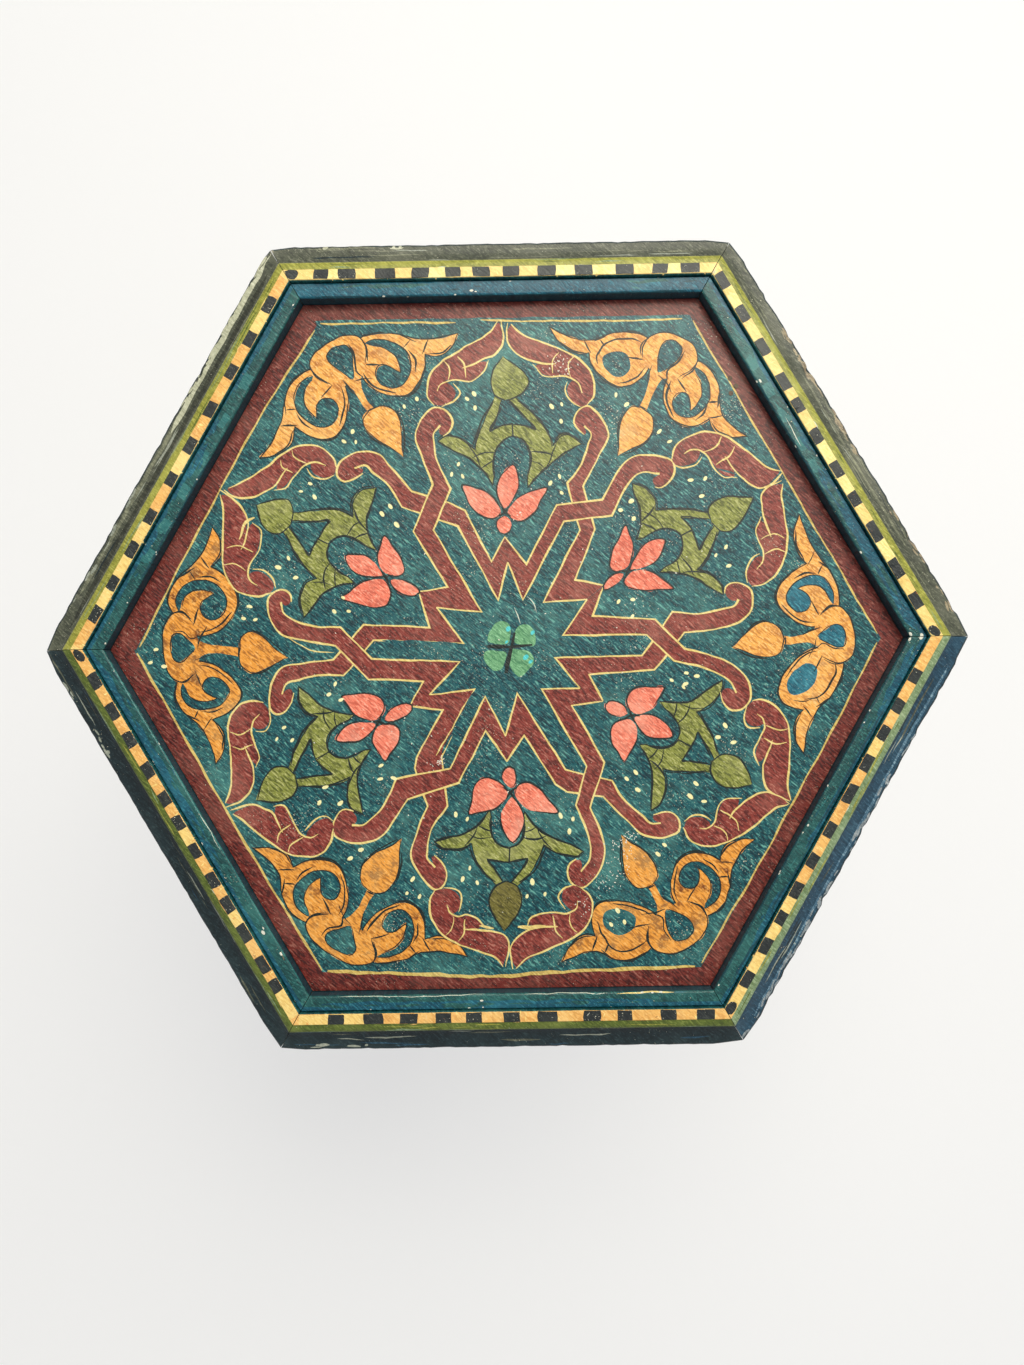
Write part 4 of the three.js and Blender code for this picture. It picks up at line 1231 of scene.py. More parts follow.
def build_neck(k):
    """One length of the hollow moulding under the rim's overhang."""
    inner, top = BOARD_OUTER + FIT_GAP, PANEL_UNDER - FIT_GAP
    outer, bottom = inner + NECK_WIDTH, top - NECK_HEIGHT
    hollow = (inner + 3, bottom + 0.4)
    profile = [(inner, bottom), (inner + 2.6, bottom), hollow]
    profile += quarter(hollow, (outer, top - 3), False, 10)
    profile += [(outer, top - 0.4), (outer - 0.4, top), (inner, top)]
    moulding = Moulding(k, profile, 7)
    foot, start, lip, back = moulding.run[[1, 2, -5, -3]]
    moulding.band(0, moulding.run[-1], pine_along(k))
    moulding.band(foot - 2, lip - 0.4, "border_maroon")
    moulding.band(lip - 0.4, back + 1, "bead_olive")
    moulding.band(foot - 1.2, foot + 1.2, "checker_cream")
    for number in range(-9, 10):
        place = (number * 9.6, (start + lip) / 2 + hand.uniform(-0.5, 0.5))
        if number % 3:
            moulding.design.dot(place, 1.1, 1.7, 0.15, 20)
        else:
            moulding.design.fill(shifted(smooth(NECK_BUD), place), "palmette_orange", 0.15)

    def uneven(x, y, out, up):
        edge = near(y, lip, 1.2) + near(y, foot, 1.2)
        out = out - 0.25 * (0.5 + 0.5 * waves(x, 91 + k, 43, 17, 8)) * np.clip(edge, 0, 1)
        return out, up, np.clip(0.7 * edge, 0, 1)

    moulding.build("neck_length", "neck_moulding", uneven)


# Side boards
ARCH_FOOT_POINTS = 24
ARCH_SIDE_POINTS = 30
ARCH_TIP_POINTS = 7

# Painting on a board, in millimetres from its sides, its middle or the floor
GROUND_EDGE = 8
GROUND_FOOT = 9
GROUND_TOP = 385
ARCH_BAND = 9  # width of the maroon band that follows the arch
LINE_INSET = 9.2  # of the cream lines, from the arch and from the sides
LINE_FOOT = 10
LINE_TOP = 383.5
FRIEZE_FOOT = 388.4
FRIEZE_TOP = 396.6
SPANDREL_SHARE = 0.72  # of the corner arabesque's size on the panel
SPANDREL_TILT = -38
SPANDREL_MIDDLE = (0, 145)  # point of the panel's arabesque that lands on the spandrel's place
SPANDREL_PLACE = (57, 347)
ARCH_FLOWER_SHARE = 0.82
ARCH_FLOWER_PLACE = (0, 357.5)
DROP_PLACE = (75.5, 226)

# Motifs of the boards, in a board's own frame: to the right of its middle, and up from the floor
SPANDREL_DOTS = ((33, 371), (39, 376), (37, 366), (80, 310), (84, 304), (77, 302), (70, 318), (24, 352))
ARCH_LEAF = [(2, 352), (9, 358), (17, 360), (26, 357.5), (33, 351)]
ARCH_LEAF_BACK = [(33, 351), (26, 352), (18, 351.6), (10, 348.5), (2, 346)]
ARCH_LEAF_VEIN = [(4, 349.5), (12, 353.5), (20, 355.5), (29, 353)]
LEG_VINE = ((74, 18), (78.5, 42), (70, 68), (79, 96), (70.5, 124), (79, 152), (71, 180), (77, 206))
# What grows from each bend of the vine, round the bend
VINE_LEAF = [(0, 0), (3, 3.4), (8, 5.4), (12.2, 10.6), (6.2, 10), (1.4, 6.4), (0, 0)]
VINE_BUD = [(0, 0), (-2.6, 3), (-2.4, 6.4), (0, 9.6), (2.4, 6.4), (2.6, 3), (0, 0)]
VINE_DROP = [(0, 0), (-5, 7), (-5.6, 13), (0, 18), (5.6, 13), (5, 7), (0, 0)]
VINE_DOTS = ((6, 17), (3.6, 20.5), (7.2, 21.5))


def arch_curve(grow, foot):
    """The arch from its right foot over the point to its left foot, grown outwards, with its feet set."""
    spring = -math.acos((ARCH_HALF_WIDTH + ARCH_POINT_OFFSET) / ARCH_RADIUS)
    tip = math.acos((ARCH_TIP_HALF_WIDTH + ARCH_POINT_OFFSET) / ARCH_RADIUS)
    tip_height = ARCH_CENTRE_HEIGHT + ARCH_RADIUS * math.sin(tip)
    knee = np.array((0, tip_height + ARCH_TIP_HALF_WIDTH / math.tan(tip)))
    apex = np.array((0, tip_height + ARCH_TIP_RISE))
    spring_height = ARCH_CENTRE_HEIGHT + ARCH_RADIUS * math.sin(spring)
    half = [(ARCH_HALF_WIDTH, z) for z in np.linspace(0, spring_height, ARCH_FOOT_POINTS)[:-1]]
    for turn in np.linspace(spring, tip, ARCH_SIDE_POINTS):
        x = ARCH_RADIUS * math.cos(turn) - ARCH_POINT_OFFSET
        half.append((x, ARCH_CENTRE_HEIGHT + ARCH_RADIUS * math.sin(turn)))
    start = np.array(half[-1])
    for t in np.linspace(0, 1, ARCH_TIP_POINTS)[1:]:
        half.append(tuple((1 - t) ** 2 * start + 2 * t * (1 - t) * knee + t**2 * apex))
    curve = np.array(half + [(-x, z) for x, z in half[-2::-1]])
    curve = curve - side_normals(curve) * grow
    curve[len(half) - 1, 0] = 0
    curve[[0, -1], 1] = foot
    return curve


def board_loop(half_width, inset):
    """Outline of a board's face, drawn in by inset: right edge, left edge, then back over the arch."""
    side = half_width - inset
    heights = np.linspace(inset, BOARD_TOP - inset, 30)
    right = [(side, z) for z in heights]
    left = [(-side, z) for z in heights[::-1]]
    return np.vstack((right, left, arch_curve(inset, inset)[::-1]))


def paint_ground(design, half):
    """Maroon edge, teal ground, and the band that follows the arch with its cream lines."""
    design.fill(board_loop(half, CHAMFER), "border_maroon", 0)
    ground = half - GROUND_EDGE
    design.fill(rectangle(-ground, ground, GROUND_FOOT, GROUND_TOP, 14), "field_teal", 0.35)
    design.fill(arch_curve(ARCH_BAND, 0.9), "border_maroon", 0)
    for grow, paint, width in ((LINE_INSET, "line_cream", 1.2), (3.4, "line_gold", 1)):
        edge = arch_curve(grow, 0)
        design.line(edge[edge[:, 1] > 2], paint, width, 0.8, 0.8, 0.12)
    side = half - LINE_INSET
    left, right = [[(x, LINE_FOOT), (x, LINE_TOP)] for x in (-side, side)]
    for ends in (left, right, [(-side, LINE_TOP - 0.1), (side, LINE_TOP - 0.1)]):
        design.line(straight(ends, 14), "line_cream", 1.1, 0.6, 0.6, 0.25)
    for x in (-1, 1):
        ends = [(x * (ARCH_HALF_WIDTH + 10), LINE_FOOT + 0.4), (x * side, LINE_FOOT + 0.4)]
        design.line(straight(ends, 8), "line_cream", 1.1)


def paint_frieze(design, half):
    """The checker band under the neck."""
    low, high = FRIEZE_FOOT, FRIEZE_TOP
    design.fill(rectangle(1.2 - half, half - 1.2, low, high, 12), "checker_cream", 0.15)
    place = 4 - half + hand.uniform(0, 4)
    while place < half - 12:
        width = hand.uniform(7, 9)
        square = checker_square(place, place + width, low + 0.3, high - 0.3)
        design.fill(square, "checker_charcoal", 0.12)
        place += width + hand.uniform(7.6, 9.4)


def paint_spandrel(design, flip):
    """The corner arabesque again, smaller and turned, beside the arch, with its dots."""
    def carry(points):
        placed = spun((points - np.array(SPANDREL_MIDDLE)) * SPANDREL_SHARE, SPANDREL_TILT)
        return flip(placed + SPANDREL_PLACE)

    paint_palmette(design, carry)
    for place in flip(SPANDREL_DOTS):
        design.dot(place, 0.9, 1.3)


def paint_arch_flower(design):
    """The coral flower over the point of the arch, with its pair of leaves."""
    for flip in (mirrored, np.array):
        design.fill(flip(joined(smooth(ARCH_LEAF), smooth(ARCH_LEAF_BACK))), "leaf_green")
        design.ink(flip(smooth(ARCH_LEAF_VEIN)), 1, 0.2, 0.2)
    for petal in (smooth(PETAL_TOP), smooth(PETAL_RIGHT), mirrored(smooth(PETAL_RIGHT))):
        shape = shifted(petal * ARCH_FLOWER_SHARE, ARCH_FLOWER_PLACE)
        design.fill(shape, "petal_coral")
        design.ink(shape[: len(shape) // 2], 1, 0.2, 0.2)
    for x in (-1, 1):
        design.line([(3 * x, 355), (0, 358), (-2 * x, 361)], "ink", 1.2)


def paint_vine(design, flip):
    """A climbing stem of leaves and buds down one leg, and the drop above it."""
    design.line(flip(smooth(LEG_VINE, 3)), "leaf_green", 2.3, 0.3, 0.3, 0.4)
    for number, (x, z) in enumerate(LEG_VINE[1:-1]):
        lean = 1 if number % 2 else -1
        leaf = shifted(smooth(VINE_LEAF) * (lean * 0.9, 1), (x, z - 2))
        design.fill(flip(leaf), "leaf_green")
        design.ink(flip(leaf[2 : len(leaf) // 2]), 0.8, 0.2, 0.2)
        bud = shifted(smooth(VINE_BUD), (x - lean * 6.6, z + 8))
        design.fill(flip(bud), "petal_coral")
        stem = smooth([(x, z + 1), (x - lean * 3.4, z + 5), (x - lean * 6.6, z + 8.5)])
        design.line(flip(stem), "leaf_green", 1.3, 0.6, 0.6)
        for place in flip([(x + lean * right, z + rise) for right, rise in VINE_DOTS]):
            design.dot(place, 0.8, 1.15)
    drop = shifted(smooth(VINE_DROP), DROP_PLACE)
    design.fill(flip(drop), "palmette_orange")
    design.ink(flip(drop[: len(drop) // 2]), 1, 0.2, 0.2)


def board_design():
    """The outer face of a side board, lowest coat first, open below the arch."""
    design = Design()
    half = BOARD_OUTER * TAN30 - MITRE_GAP
    paint_ground(design, half)
    paint_frieze(design, half)
    for flip in (np.array, mirrored):
        paint_spandrel(design, flip)
    paint_arch_flower(design)
    for flip in (np.array, mirrored):
        paint_vine(design, flip)
    design.opening(arch_curve(CHAMFER, CHAMFER))
    return design


def build_board(k):
    """A side board: painted face, small chamfers, maroon arch edge, bare back and mitred ends."""
    flat, faces, paints = cut_up(board_design())
    places = [(x, BOARD_OUTER, z) for x, z in flat]
    rings = ((BOARD_OUTER, CHAMFER), (BOARD_OUTER - CHAMFER, 0), (BOARD_INNER + CHAMFER, 0),
             (BOARD_INNER, CHAMFER))
    loops = [[(x, out, z) for x, z in board_loop(out * TAN30 - MITRE_GAP, inset)] for out, inset in rings]
    join_loops(places, faces, loops)
    for ring in range(len(loops) - 1):
        for x, _, z in loops[1]:
            maroon = ring == 0 or (abs(x) < 70 and z < 340)
            paints.append("border_maroon" if maroon else "raw_pine")
    paints.append("raw_pine")
    mesh = write_mesh(f"painted_board_{k + 1}", to_side(places, SIDE_ANGLES[k]), faces, paints)
    place_piece(mesh, f"side_board_{k + 1}")


# Shader tools
COLOUR, NUMBER, VECTOR = "NodeSocketColor", "NodeSocketFloat", "NodeSocketVector"
BRUSH_TURN = (0, 0, 41)  # the brush went slantwise over the top, in degrees
STROKE_SCALE = (230, 1050, 110)
HAIR_SCALE = (420, 1700, 180)  # of the single hairs within a stroke
PINE_FIBRE = "4a3524"
BARE_GESSO = "cfcdb8"  # shows where paint is lost
RUBBED_WOOD = "b8b3a0"  # shows where an edge is worn


def linear(code):
    """A colour written as six hex digits, as the shader's linear numbers."""
    values = [int(code[i : i + 2], 16) / 255 for i in (0, 2, 4)]
    return tuple(v / 12.92 if v <= 0.04045 else ((v + 0.055) / 1.055) ** 2.4 for v in values) + (1,)


class Nodes:
    """Adds nodes to one tree, with their properties set and their inputs set or joined."""

    def __init__(self, tree):
        self.tree = tree

    def join(self, value, socket):
        if isinstance(value, bpy.types.NodeSocket):
            self.tree.links.new(value, socket)
        else:
            socket.default_value = value

    def add(self, kind, inputs=None, **properties):
        node = self.tree.nodes.new(kind)
        for name, value in properties.items():
            setattr(node, name, value)
        for name, value in (inputs or {}).items():
            self.join(value, node.inputs[name])
        return node.outputs

    def maths(self, operation, first, second):
        return self.add("ShaderNodeMath", {0: first, 1: second}, operation=operation)[0]

    def plus(self, first, second):
        return self.maths("ADD", first, second)

    def less(self, first, second):
        return self.maths("SUBTRACT", first, second)

    def times(self, first, second):
        return self.maths("MULTIPLY", first, second)

    def either(self, first, second):
        return self.maths("MAXIMUM", first, second)

    def mix(self, factor, low, high):
        return self.add("ShaderNodeMix", {0: factor, 6: low, 7: high}, data_type="RGBA")[2]

    def ramp(self, value, low, high):
        """0 below low, 1 above high, smooth between."""
        inputs = {"Value": value, "From Min": low, "From Max": high}
        return self.add("ShaderNodeMapRange", inputs, interpolation_type="SMOOTHSTEP")["Result"]

    def place(self):
        return self.add("ShaderNodeTexCoord")["Object"]

    def noise(self, place, scale, detail, rough=0.5):
        inputs = {"Vector": place, "Scale": scale, "Detail": detail, "Roughness": rough}
        return self.add("ShaderNodeTexNoise", inputs)["Fac"]

    def mapped(self, place, turn=(0, 0, 0), scale=(1, 1, 1)):
        inputs = {"Vector": place, "Rotation": tuple(math.radians(a) for a in turn), "Scale": scale}
        return self.add("ShaderNodeMapping", inputs)["Vector"]

    def grouped(self, group, inputs):
        return self.add("ShaderNodeGroup", inputs, node_tree=group)

    def surface(self, shader, colour, roughness, height, strength, depth):
        """Joins a colour, a roughness and a fine relief to the shader."""
        self.join(colour, shader.inputs["Base Color"])
        self.join(roughness, shader.inputs["Roughness"])
        relief = self.add("ShaderNodeBump", {"Height": height, "Strength": strength, "Distance": depth})
        self.join(relief["Normal"], shader.inputs["Normal"])


def new_group(name, inputs, outputs):
    group = bpy.data.node_groups.new(name, "ShaderNodeTree")
    for label, kind, value in inputs:
        socket = group.interface.new_socket(name=label, in_out="INPUT", socket_type=kind)
        socket.default_value = value
    for label, kind in outputs:
        group.interface.new_socket(name=label, in_out="OUTPUT", socket_type=kind)
    nodes = Nodes(group)
    return nodes, nodes.add("NodeGroupInput"), group.nodes.new("NodeGroupOutput").inputs


def brushed_paint_group():
    """Old hand-brushed paint under satin varnish: streaks, mottling and pin-prick losses, with pale streaks
    and specks that are painted glints on the brush ridges.
    """
    nodes, given, out = new_group(
        "brushed_paint",
        (("Paint", COLOUR, (0.5, 0.5, 0.5, 1)), ("Deep", COLOUR, (0.2, 0.2, 0.2, 1)),
         ("Pale", COLOUR, (0.8, 0.8, 0.8, 1)), ("Streaks", NUMBER, 0.5), ("Mottle", NUMBER, 0.5),
         ("Losses", NUMBER, 0.3), ("Blotches", NUMBER, 0.4), ("Loss Colour", COLOUR, (0.7, 0.7, 0.6, 1))),
        (("Colour", COLOUR), ("Roughness", NUMBER), ("Height", NUMBER)),
    )
    plus, less, times, ramp = nodes.plus, nodes.less, nodes.times, nodes.ramp
    place = nodes.place()
    along = nodes.mapped(place, BRUSH_TURN)
    strokes = nodes.noise(nodes.mapped(along, scale=STROKE_SCALE), 1.0, 1.0)
    hairs = nodes.noise(nodes.mapped(along, scale=HAIR_SCALE), 1.0, 1.0)
    streaks = plus(times(strokes, 0.7), times(hairs, 0.3))
    tooth = nodes.noise(place, 950.0, 3.0, 0.7)
    cloud = nodes.noise(place, 26.0, 3.0, 0.6)
    patch = nodes.noise(place, 130.0, 3.0, 0.65)
    uneven = plus(cloud, times(patch, 0.5))
    grain = less(tooth, times(hairs, 0.6))
    # The pale streaks and the pale specks of the grain are painted highlights: glints of light on the brush
    # ridges.
    layers = (
        (ramp(streaks, 0.48, 0.6), "Streaks", "Deep"),
        (ramp(streaks, 0.42, 0.32), "Streaks", "Pale"),
        (ramp(patch, 0.54, 0.68), "Blotches", "Deep"),
        (ramp(uneven, 0.7, 1.1), "Mottle", "Pale"),
        (ramp(grain, 0.27, 0.36), "Mottle", "Pale"),
    )
    colour = given["Paint"]
    for share, amount, tone in layers:
        colour = nodes.mix(times(share, given[amount]), colour, given[tone])
    speck = nodes.noise(place, 1250.0, 1.0)
    where = nodes.noise(place, 42.0, 2.0)
    limit = less(1.02, times(given["Losses"], 0.16))
    lost = ramp(less(plus(speck, times(where, 0.35)), limit), 0.0, 0.02)
    nodes.join(nodes.mix(lost, colour, given["Loss Colour"]), out["Colour"])
    nodes.join(plus(plus(times(patch, 0.22), times(tooth, 0.12)), 0.2), out["Roughness"])
    relief = plus(times(streaks, 0.7), times(tooth, 0.35))
    nodes.join(less(relief, times(lost, 0.4)), out["Height"])
    return nodes.tree


def worn_edge_group():
    """Where handling has rubbed paint away, from the piece's wear value and a ragged edge."""
    nodes, given, out = new_group(
        "worn_edge", (("Wear", NUMBER, 0.0), ("Spread", NUMBER, 0.5)), (("Mask", NUMBER), ("Dust", NUMBER)))
    plus, times = nodes.plus, nodes.times
    place = nodes.place()
    ragged = nodes.noise(place, 210.0, 4.0, 0.65)
    broad = nodes.noise(place, 38.0, 2.0)
    amount = plus(times(given["Wear"], given["Spread"]), times(broad, 0.3))
    total = plus(amount, times(ragged, 0.8))
    nodes.join(nodes.ramp(total, 0.98, 1.08), out["Mask"])
    nodes.join(times(nodes.ramp(total, 0.66, 1.1), 0.45), out["Dust"])
    return nodes.tree


def pine_group():
    """Bare old pine, grained along Z of the vector given to it."""
    nodes, given, out = new_group(
        "old_pine",
        (("Vector", VECTOR, (0, 0, 0)), ("Light", COLOUR, (0.5, 0.3, 0.2, 1)),
         ("Dark", COLOUR, (0.3, 0.2, 0.1, 1))),
        (("Colour", COLOUR), ("Roughness", NUMBER), ("Height", NUMBER)),
    )
    plus, times = nodes.plus, nodes.times
    place = given["Vector"]
    warp = nodes.noise(nodes.mapped(place, scale=(14, 14, 3)), 1.0, 2.0)
    spread = nodes.add("ShaderNodeVectorMath", {0: (5, 4, 1), "Scale": warp}, operation="SCALE")[0]
    stretched = nodes.mapped(place, scale=(120, 120, 7))
    bent = nodes.add("ShaderNodeVectorMath", {0: stretched, 1: spread}, operation="ADD")[0]
    late_wood = nodes.ramp(nodes.noise(bent, 1.0, 4.0, 0.6), 0.4, 0.62)
    fibre = nodes.noise(nodes.mapped(place, scale=(900, 900, 30)), 1.0, 2.0)
    colour = nodes.mix(late_wood, given["Light"], given["Dark"])
    nodes.join(nodes.mix(times(fibre, 0.35), colour, linear(PINE_FIBRE)), out["Colour"])
    nodes.join(plus(times(fibre, 0.2), 0.55), out["Roughness"])
    nodes.join(plus(fibre, times(late_wood, 0.5)), out["Height"])
    return nodes.tree


def start_material(name):
    """A new material, its nodes and its main shader."""
    material = bpy.data.materials.new(name)
    material.use_nodes = True
    return material, Nodes(material.node_tree), material.node_tree.nodes["Principled BSDF"]


BRUSHED = brushed_paint_group()
WORN = worn_edge_group()
PINE = pine_group()

# Each paint: body colour, deep strokes, pale strokes (also the colour of its painted glints), streaks,
# mottle, losses, how much of it shows wear
PAINTS = {
    "field_teal": ("0e4e57", "03232e", "69a89f", 0.85, 0.4, 0.75, 0.0),
    "field_blue": ("1a6478", "0b3c50", "549cac", 0.75, 0.4, 0.5, 0.0),
    "border_maroon": ("6a2620", "2a0b0b", "9a6256", 0.8, 0.4, 0.5, 0.0),
    "strap_maroon": ("80332c", "401413", "b47668", 0.8, 0.45, 0.6, 0.0),
    "line_cream": ("dfc97e", "b89a56", "efe3a8", 0.45, 0.5, 0.15, 0.0),
    "line_gold": ("d0b464", "94793a", "e6d490", 0.6, 0.5, 0.3, 0.0),
    "line_pale": ("c9cfc0", "9fae9f", "e4e6dc", 0.4, 0.4, 0.0, 0.0),
    "leaf_green": ("82883f", "40481a", "bcbc80", 0.8, 0.55, 0.3, 0.0),
    "leaf_brown": ("66602a", "3a3718", "8f8650", 0.8, 0.55, 0.5, 0.0),
    "petal_coral": ("e67a62", "ac4636", "fbbda6", 0.65, 0.5, 0.2, 0.0),
    "palmette_orange": ("e9a650", "9a5420", "f9d290", 0.6, 0.55, 0.25, 0.0),
    "palmette_burnt": ("e2973c", "6e360f", "f4c074", 0.6, 0.45, 0.3, 0.0),
    "centre_green": ("68a074", "36704e", "94ca9e", 0.75, 0.6, 0.3, 0.0),
    "turquoise_dab": ("4cc6cc", "37a4b0", "7bdcdc", 0.5, 0.4, 0.0, 0.0),
    "ink": ("0d1a18", "081010", "22322e", 0.5, 0.4, 0.1, 0.0),
    "dot_cream": ("ece6ae", "cfc486", "f6f2cc", 0.3, 0.4, 0.0, 0.0),
    "checker_cream": ("efcf7e", "d2a65c", "f5de98", 0.5, 0.7, 0.3, 0.35),
    "checker_amber": ("e8b264", "c88b48", "f3cf8a", 0.6, 0.7, 0.4, 0.35),
    "checker_charcoal": ("24292b", "15191b", "4b504c", 0.5, 0.4, 0.7, 0.25),
    "checker_straw": ("f3de90", "dcbf6c", "faedb4", 0.5, 0.6, 0.2, 0.35),
    "rust": ("9a5a34", "6f3d24", "b97a4c", 0.5, 0.4, 0.2, 0.0),
    # Bead paints: straw is painted sheen on the sides towards the light, sage the bluer sky-lit side 3, olive
    # the shaded sides and the neck's band.
    "bead_straw": ("8f8f3c", "6b7029", "b9b860", 0.7, 0.6, 0.35, 0.35),
    "bead_sage": ("788e6a", "5a7048", "a6b894", 0.7, 0.6, 0.35, 0.35),
    "bead_olive": ("566528", "3c481c", "7f8b46", 0.7, 0.6, 0.35, 0.35),
    # Cove paints: grey is painted sheen, and blue and sky are painted reflections of the sky, over the navy
    # of the shaded sides; umber is painted shade, and dust is both dusty streaks and painted highlights.
    "cove_navy": ("142328", "0b1518", "34464a", 0.6, 0.5, 0.4, 0.35),
    "cove_blue": ("1f3f53", "132938", "44667a", 0.6, 0.5, 0.4, 0.35),
    "cove_sky": ("44667c", "2c4a60", "86a2b2", 0.8, 0.7, 0.5, 0.3),
    "cove_grey": ("4b4f42", "2f332c", "77796a", 0.7, 0.6, 0.5, 0.35),
    "cove_umber": ("33352b", "1f211b", "57594a", 0.7, 0.6, 0.5, 0.3),
    "cove_dust": ("6a6d5c", "4c5043", "94967f", 0.7, 0.6, 0.4, 0.3),
    "cove_worn": ("8b9186", "6e746b", "b5b8ac", 0.5, 0.5, 0.1, 0.0),
    "lip_brown": ("8e8068", "5f5443", "b8ad93", 0.7, 0.6, 0.3, 0.0),
    "lip_haze": ("828b91", "596268", "aeb6ba", 0.6, 0.6, 0.3, 0.0),
    "lip_pale": ("b4b69e", "8f927c", "d4d5c2", 0.6, 0.6, 0.3, 0.0),
    "fillet_teal": ("174a4b", "0b2e31", "3c7874", 0.7, 0.7, 0.4, 0.35),
    "fillet_pale": ("2b6a6c", "1c5557", "4b8884", 0.6, 0.6, 0.3, 0.3),
    "fillet_blue": ("0d4d62", "073244", "3a8498", 0.6, 0.5, 0.3, 0.3),
    # The fillet's dark paint is painted shade on its inner wall and edge, and dark brush streaks on its top.
    "fillet_dark": ("0f3d49", "092a34", "24545e", 0.5, 0.4, 0.3, 0.2),
    "chip_white": ("d9d8cc", "bcbbaf", "ecebe2", 0.3, 0.4, 0.0, 0.0),
}
# How much each paint is blotched with its deep tone
PLAIN_BLOTCHES = 0.15
BLOTCHES = {"palmette_burnt": 0.95, "palmette_orange": 0.6, "petal_coral": 0.5, "leaf_green": 0.5,
            "cove_grey": 0.6, "checker_amber": 0.5, "line_cream": 0.1}
STEELS = {"aged_steel": ("77736b", "5a3a26"), "brown_nail": ("3e342c", "33231a")}  # bright, rusted
BEVEL_ANGLE = 40  # edges of the frame's nodes sharper than this are eased, in degrees


def paint_material(name):
    """Old brushed paint under a thin coat of varnish, rubbed away where its piece is worn."""
    body, deep, pale, streaks, mottle, losses, worn = PAINTS[name]
    material, nodes, shader = start_material(name)
    coat = nodes.grouped(BRUSHED, {
        "Paint": linear(body), "Deep": linear(deep), "Pale": linear(pale), "Streaks": streaks,
        "Mottle": mottle, "Blotches": BLOTCHES.get(name, PLAIN_BLOTCHES), "Losses": losses,
        "Loss Colour": linear(BARE_GESSO),
    })
    colour = coat["Colour"]
    if worn:
        wear = nodes.add("ShaderNodeAttribute", attribute_name="wear")["Fac"]
        rubbed = nodes.grouped(WORN, {"Wear": wear, "Spread": worn})
        colour = nodes.mix(rubbed["Dust"], colour, linear(pale))
        colour = nodes.mix(rubbed["Mask"], colour, linear(RUBBED_WOOD))
    nodes.surface(shader, colour, coat["Roughness"], coat["Height"], 0.8, 0.0006)
    shader.inputs["Specular IOR Level"].default_value = 0.22
    shader.inputs["Coat Weight"].default_value = 0.13
    shader.inputs["Coat Roughness"].default_value = 0.22
    return material


def pine_material(name, turn):
    """Bare pine with the grain turned from Z by the given angles."""
    material, nodes, shader = start_material(name)
    place = nodes.mapped(nodes.place(), turn)
    wood = nodes.grouped(PINE, {"Vector": place, "Light": linear("b48c5a"), "Dark": linear("8f6438")})
    nodes.surface(shader, wood["Colour"], wood["Roughness"], wood["Height"], 0.4, 0.0003)
    return material


def steel_material(name, bright, rusted):
    """Steel with patches of rust, which are rougher and hardly metal."""
    material, nodes, shader = start_material(name)
    rust = nodes.ramp(nodes.noise(nodes.place(), 700.0, 3.0, 0.6), 0.5, 0.66)
    colour = nodes.mix(rust, linear(bright), linear(rusted))
    nodes.join(nodes.less(0.85, nodes.times(rust, 0.75)), shader.inputs["Metallic"])
    nodes.surface(shader, colour, nodes.plus(nodes.times(rust, 0.35), 0.4), rust, 0.3, 0.0001)
    return material


@functools.cache
def finish(name):
    """The material of that name, made the first time it is asked for."""
    if name in STEELS:
        return steel_material(name, *STEELS[name])
    if name == "raw_pine":
        return pine_material(name, (0, 0, 0))
    if name.startswith("turned_pine"):
        return pine_material(name, (0, 90, float(name.split("_")[-1])))
    return paint_material(name)


# The frame's own wood and steel
def dress_node(name, paint, bevel):
    """Gives one of the frame's nodes its material and eased edges, in millimetres."""
    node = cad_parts[name]
    node.data.materials.clear()
    node.data.materials.append(finish(paint))
    edge = node.modifiers.new("eased_edges", "BEVEL")
    edge.width = bevel * MM
    edge.segments = 2
    edge.limit_method = "ANGLE"
    edge.angle_limit = math.radians(BEVEL_ANGLE)


def dress_frame():
    """The glue blocks, cleats, screws and pins."""
    for k in range(6):
        dress_node(f"corner_block_{k + 1}", "raw_pine", 0.8)
        dress_node(f"top_cleat_{k + 1}", pine_along(k), 0.8)
        for end in "ab":
            dress_node(f"cleat_screw_{k + 1}{end}", "aged_steel", 0.15)
    for number in (1, 2, 3):
        dress_node(f"top_pin_{number}", "brown_nail", 0.2)


# Stage, light and camera, in metres
FLOOR_REACH = 6
FLOOR_GLOW = 0.55
WALL_RADIUS = 5.5
WALL_HEIGHT = 4.5
WALL_SIDES = 48
SKY_LIGHT = 0.37  # of the sky's strength, for light that falls on things
SKY_SEEN = 0.43  # more for the sky that is seen or mirrored
# Each softbox: where it stands, what it points at, its size, power and tint
SOFTBOXES = {
    "window_side": ((0.42, 0.95, 1.75), (0, 0, 0.4), (1.4, 0.9), 23.8, (1, 0.97, 0.86)),
    "sheen_side": ((0.16, 0.56, 1.85), (0, 0, 0.4), (0.7, 0.6), 7.5, (1, 0.93, 0.74)),
    "fill_side": ((1.4, -1.4, 1.4), (0, 0, 0.2), (1.6, 1.4), 5.5, (0.95, 0.97, 1)),
}
LENS = 27.19  # in millimetres, for a frame 36 mm high
SENSOR_HEIGHT = 36
CAMERA_PLACE = (0.0049, -0.0237, 0.9288)
CAMERA_TURN = Vector((0.56, 0.27, -0.9))  # axis of its turn from straight down, as long as the degrees


def rays_seen(nodes):
    """1 for rays that the camera sees, straight or mirrored, and 0 for those that only carry light."""
    path = nodes.add("ShaderNodeLightPath")
    mirrored_rays = nodes.either(path["Is Glossy Ray"], path["Is Transmission Ray"])
    return nodes.either(path["Is Camera Ray"], mirrored_rays)


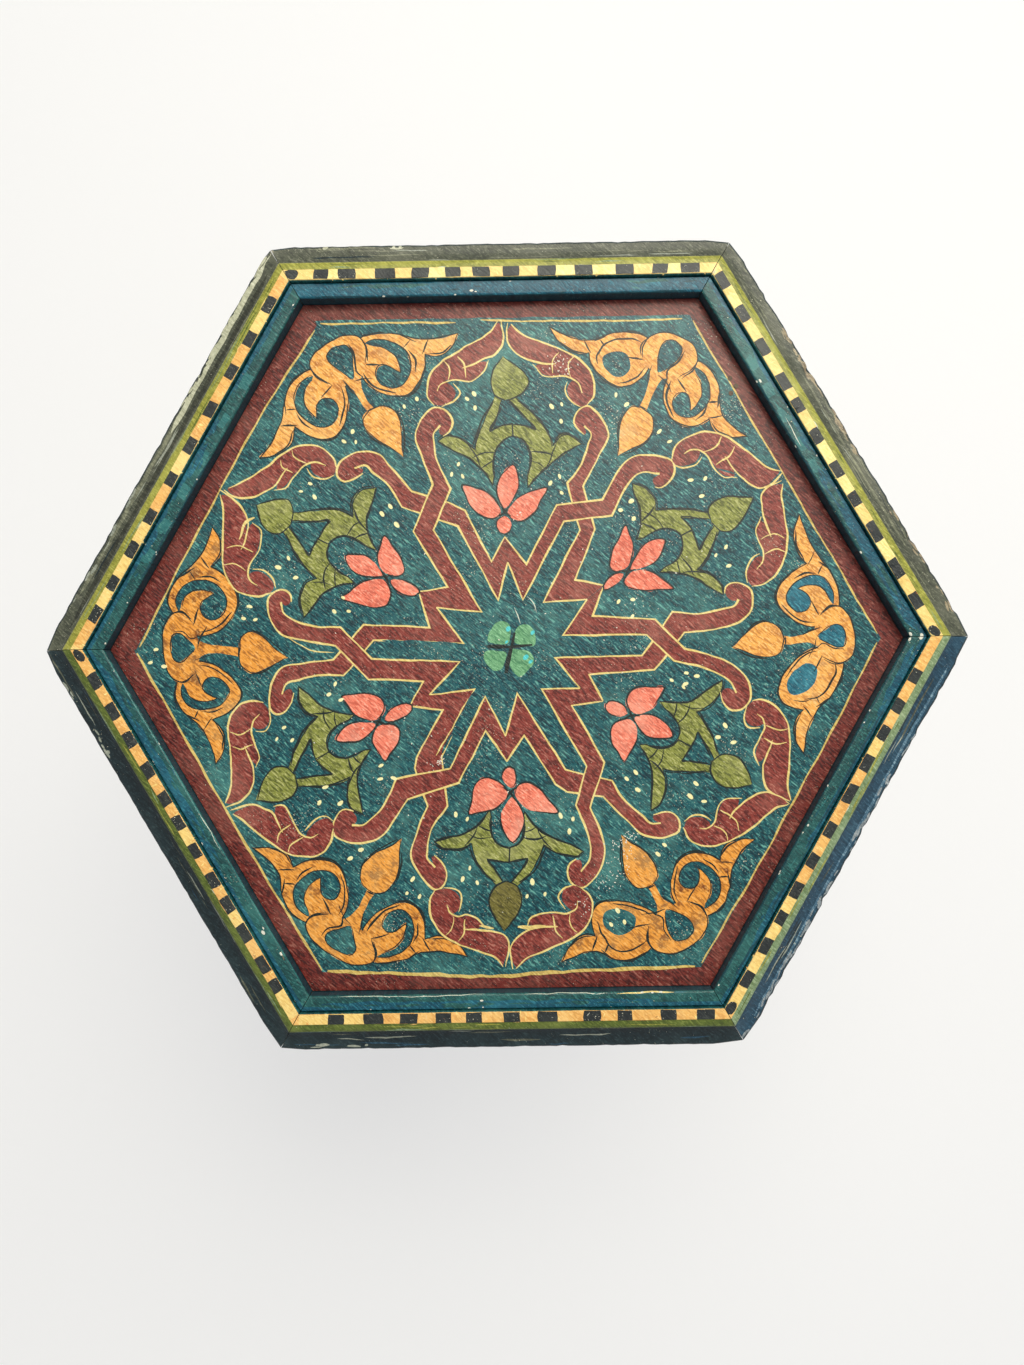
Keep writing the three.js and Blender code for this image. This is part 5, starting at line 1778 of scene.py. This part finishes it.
def stage_material():
    """Pale and half glowing where it is seen, and clear from behind."""
    material, nodes, shader = start_material("pale_floor")
    shader.inputs["Base Color"].default_value = (0.92, 0.92, 0.92, 1)
    shader.inputs["Roughness"].default_value = 0.9
    shader.inputs["Specular IOR Level"].default_value = 0.1
    glow = nodes.add("ShaderNodeEmission", {"Color": (1, 1, 1, 1), "Strength": 1.0})[0]
    share = nodes.times(rays_seen(nodes), FLOOR_GLOW)
    front = nodes.add("ShaderNodeMixShader", {0: share, 1: shader.outputs[0], 2: glow})[0]
    clear = nodes.add("ShaderNodeBsdfTransparent")[0]
    behind = nodes.add("ShaderNodeNewGeometry")["Backfacing"]
    blend = nodes.add("ShaderNodeMixShader", {0: behind, 1: front, 2: clear})[0]
    nodes.join(blend, nodes.tree.nodes["Material Output"].inputs["Surface"])
    return material


def build_stage():
    """The floor, and a pale wall all round."""
    size, count = FLOOR_REACH, WALL_SIDES
    square = [(-size, -size, 0), (size, -size, 0), (size, size, 0), (-size, size, 0)]
    turns = np.linspace(0, 2 * math.pi, count + 1)[:-1]
    ring = [(WALL_RADIUS * math.cos(turn), WALL_RADIUS * math.sin(turn)) for turn in turns]
    uprights = [(x, y, z) for z in (0, WALL_HEIGHT) for x, y in ring]
    panes = [(n + count, (n + 1) % count + count, (n + 1) % count, n) for n in range(count)]
    material = stage_material()
    for name, places, faces in (("floor", square, [(0, 1, 2, 3)]), ("wall", uprights, panes)):
        mesh = bpy.data.meshes.new(name)
        mesh.from_pydata(places, [], faces)
        mesh.materials.append(material)
        stage = bpy.data.objects.new(name, mesh)
        bpy.context.scene.collection.objects.link(stage)


def add_softbox(name, place, target, size, power, tint):
    """A rectangular lamp that points at the target."""
    lamp = bpy.data.lights.new(name, "AREA")
    lamp.shape = "RECTANGLE"
    lamp.size, lamp.size_y = size
    lamp.energy = power
    lamp.color = tint
    softbox = bpy.data.objects.new(name, lamp)
    softbox.location = place
    softbox.rotation_euler = (Vector(target) - Vector(place)).to_track_quat("-Z", "Y").to_euler()
    bpy.context.scene.collection.objects.link(softbox)


def light_studio():
    """A pale sky, brighter where it is seen or mirrored, and three softboxes."""
    world = bpy.data.worlds.new("studio")
    world.use_nodes = True
    nodes = Nodes(world.node_tree)
    sky = world.node_tree.nodes["Background"]
    sky.inputs["Color"].default_value = (0.97, 0.98, 1, 1)
    nodes.join(nodes.plus(nodes.times(rays_seen(nodes), SKY_SEEN), SKY_LIGHT), sky.inputs["Strength"])
    bpy.context.scene.world = world
    for name, row in SOFTBOXES.items():
        add_softbox(name, *row)
    bpy.context.scene.view_settings.view_transform = "Standard"


def place_camera():
    """Over the stool, looking almost straight down."""
    camera = bpy.data.cameras.new("camera")
    camera.sensor_fit = "VERTICAL"
    camera.sensor_height = SENSOR_HEIGHT
    camera.lens = LENS
    camera.clip_start = 0.01
    spot = bpy.data.objects.new("camera", camera)
    spot.location = CAMERA_PLACE
    spot.rotation_mode = "AXIS_ANGLE"
    spot.rotation_axis_angle = (math.radians(CAMERA_TURN.length), *CAMERA_TURN.normalized())
    bpy.context.scene.collection.objects.link(spot)
    bpy.context.scene.camera = spot


place_camera()
light_studio()
build_stage()
build_panel()
for k in range(6):
    build_rim(k)
    build_fillet(k)
    build_neck(k)
    build_board(k)
dress_frame()
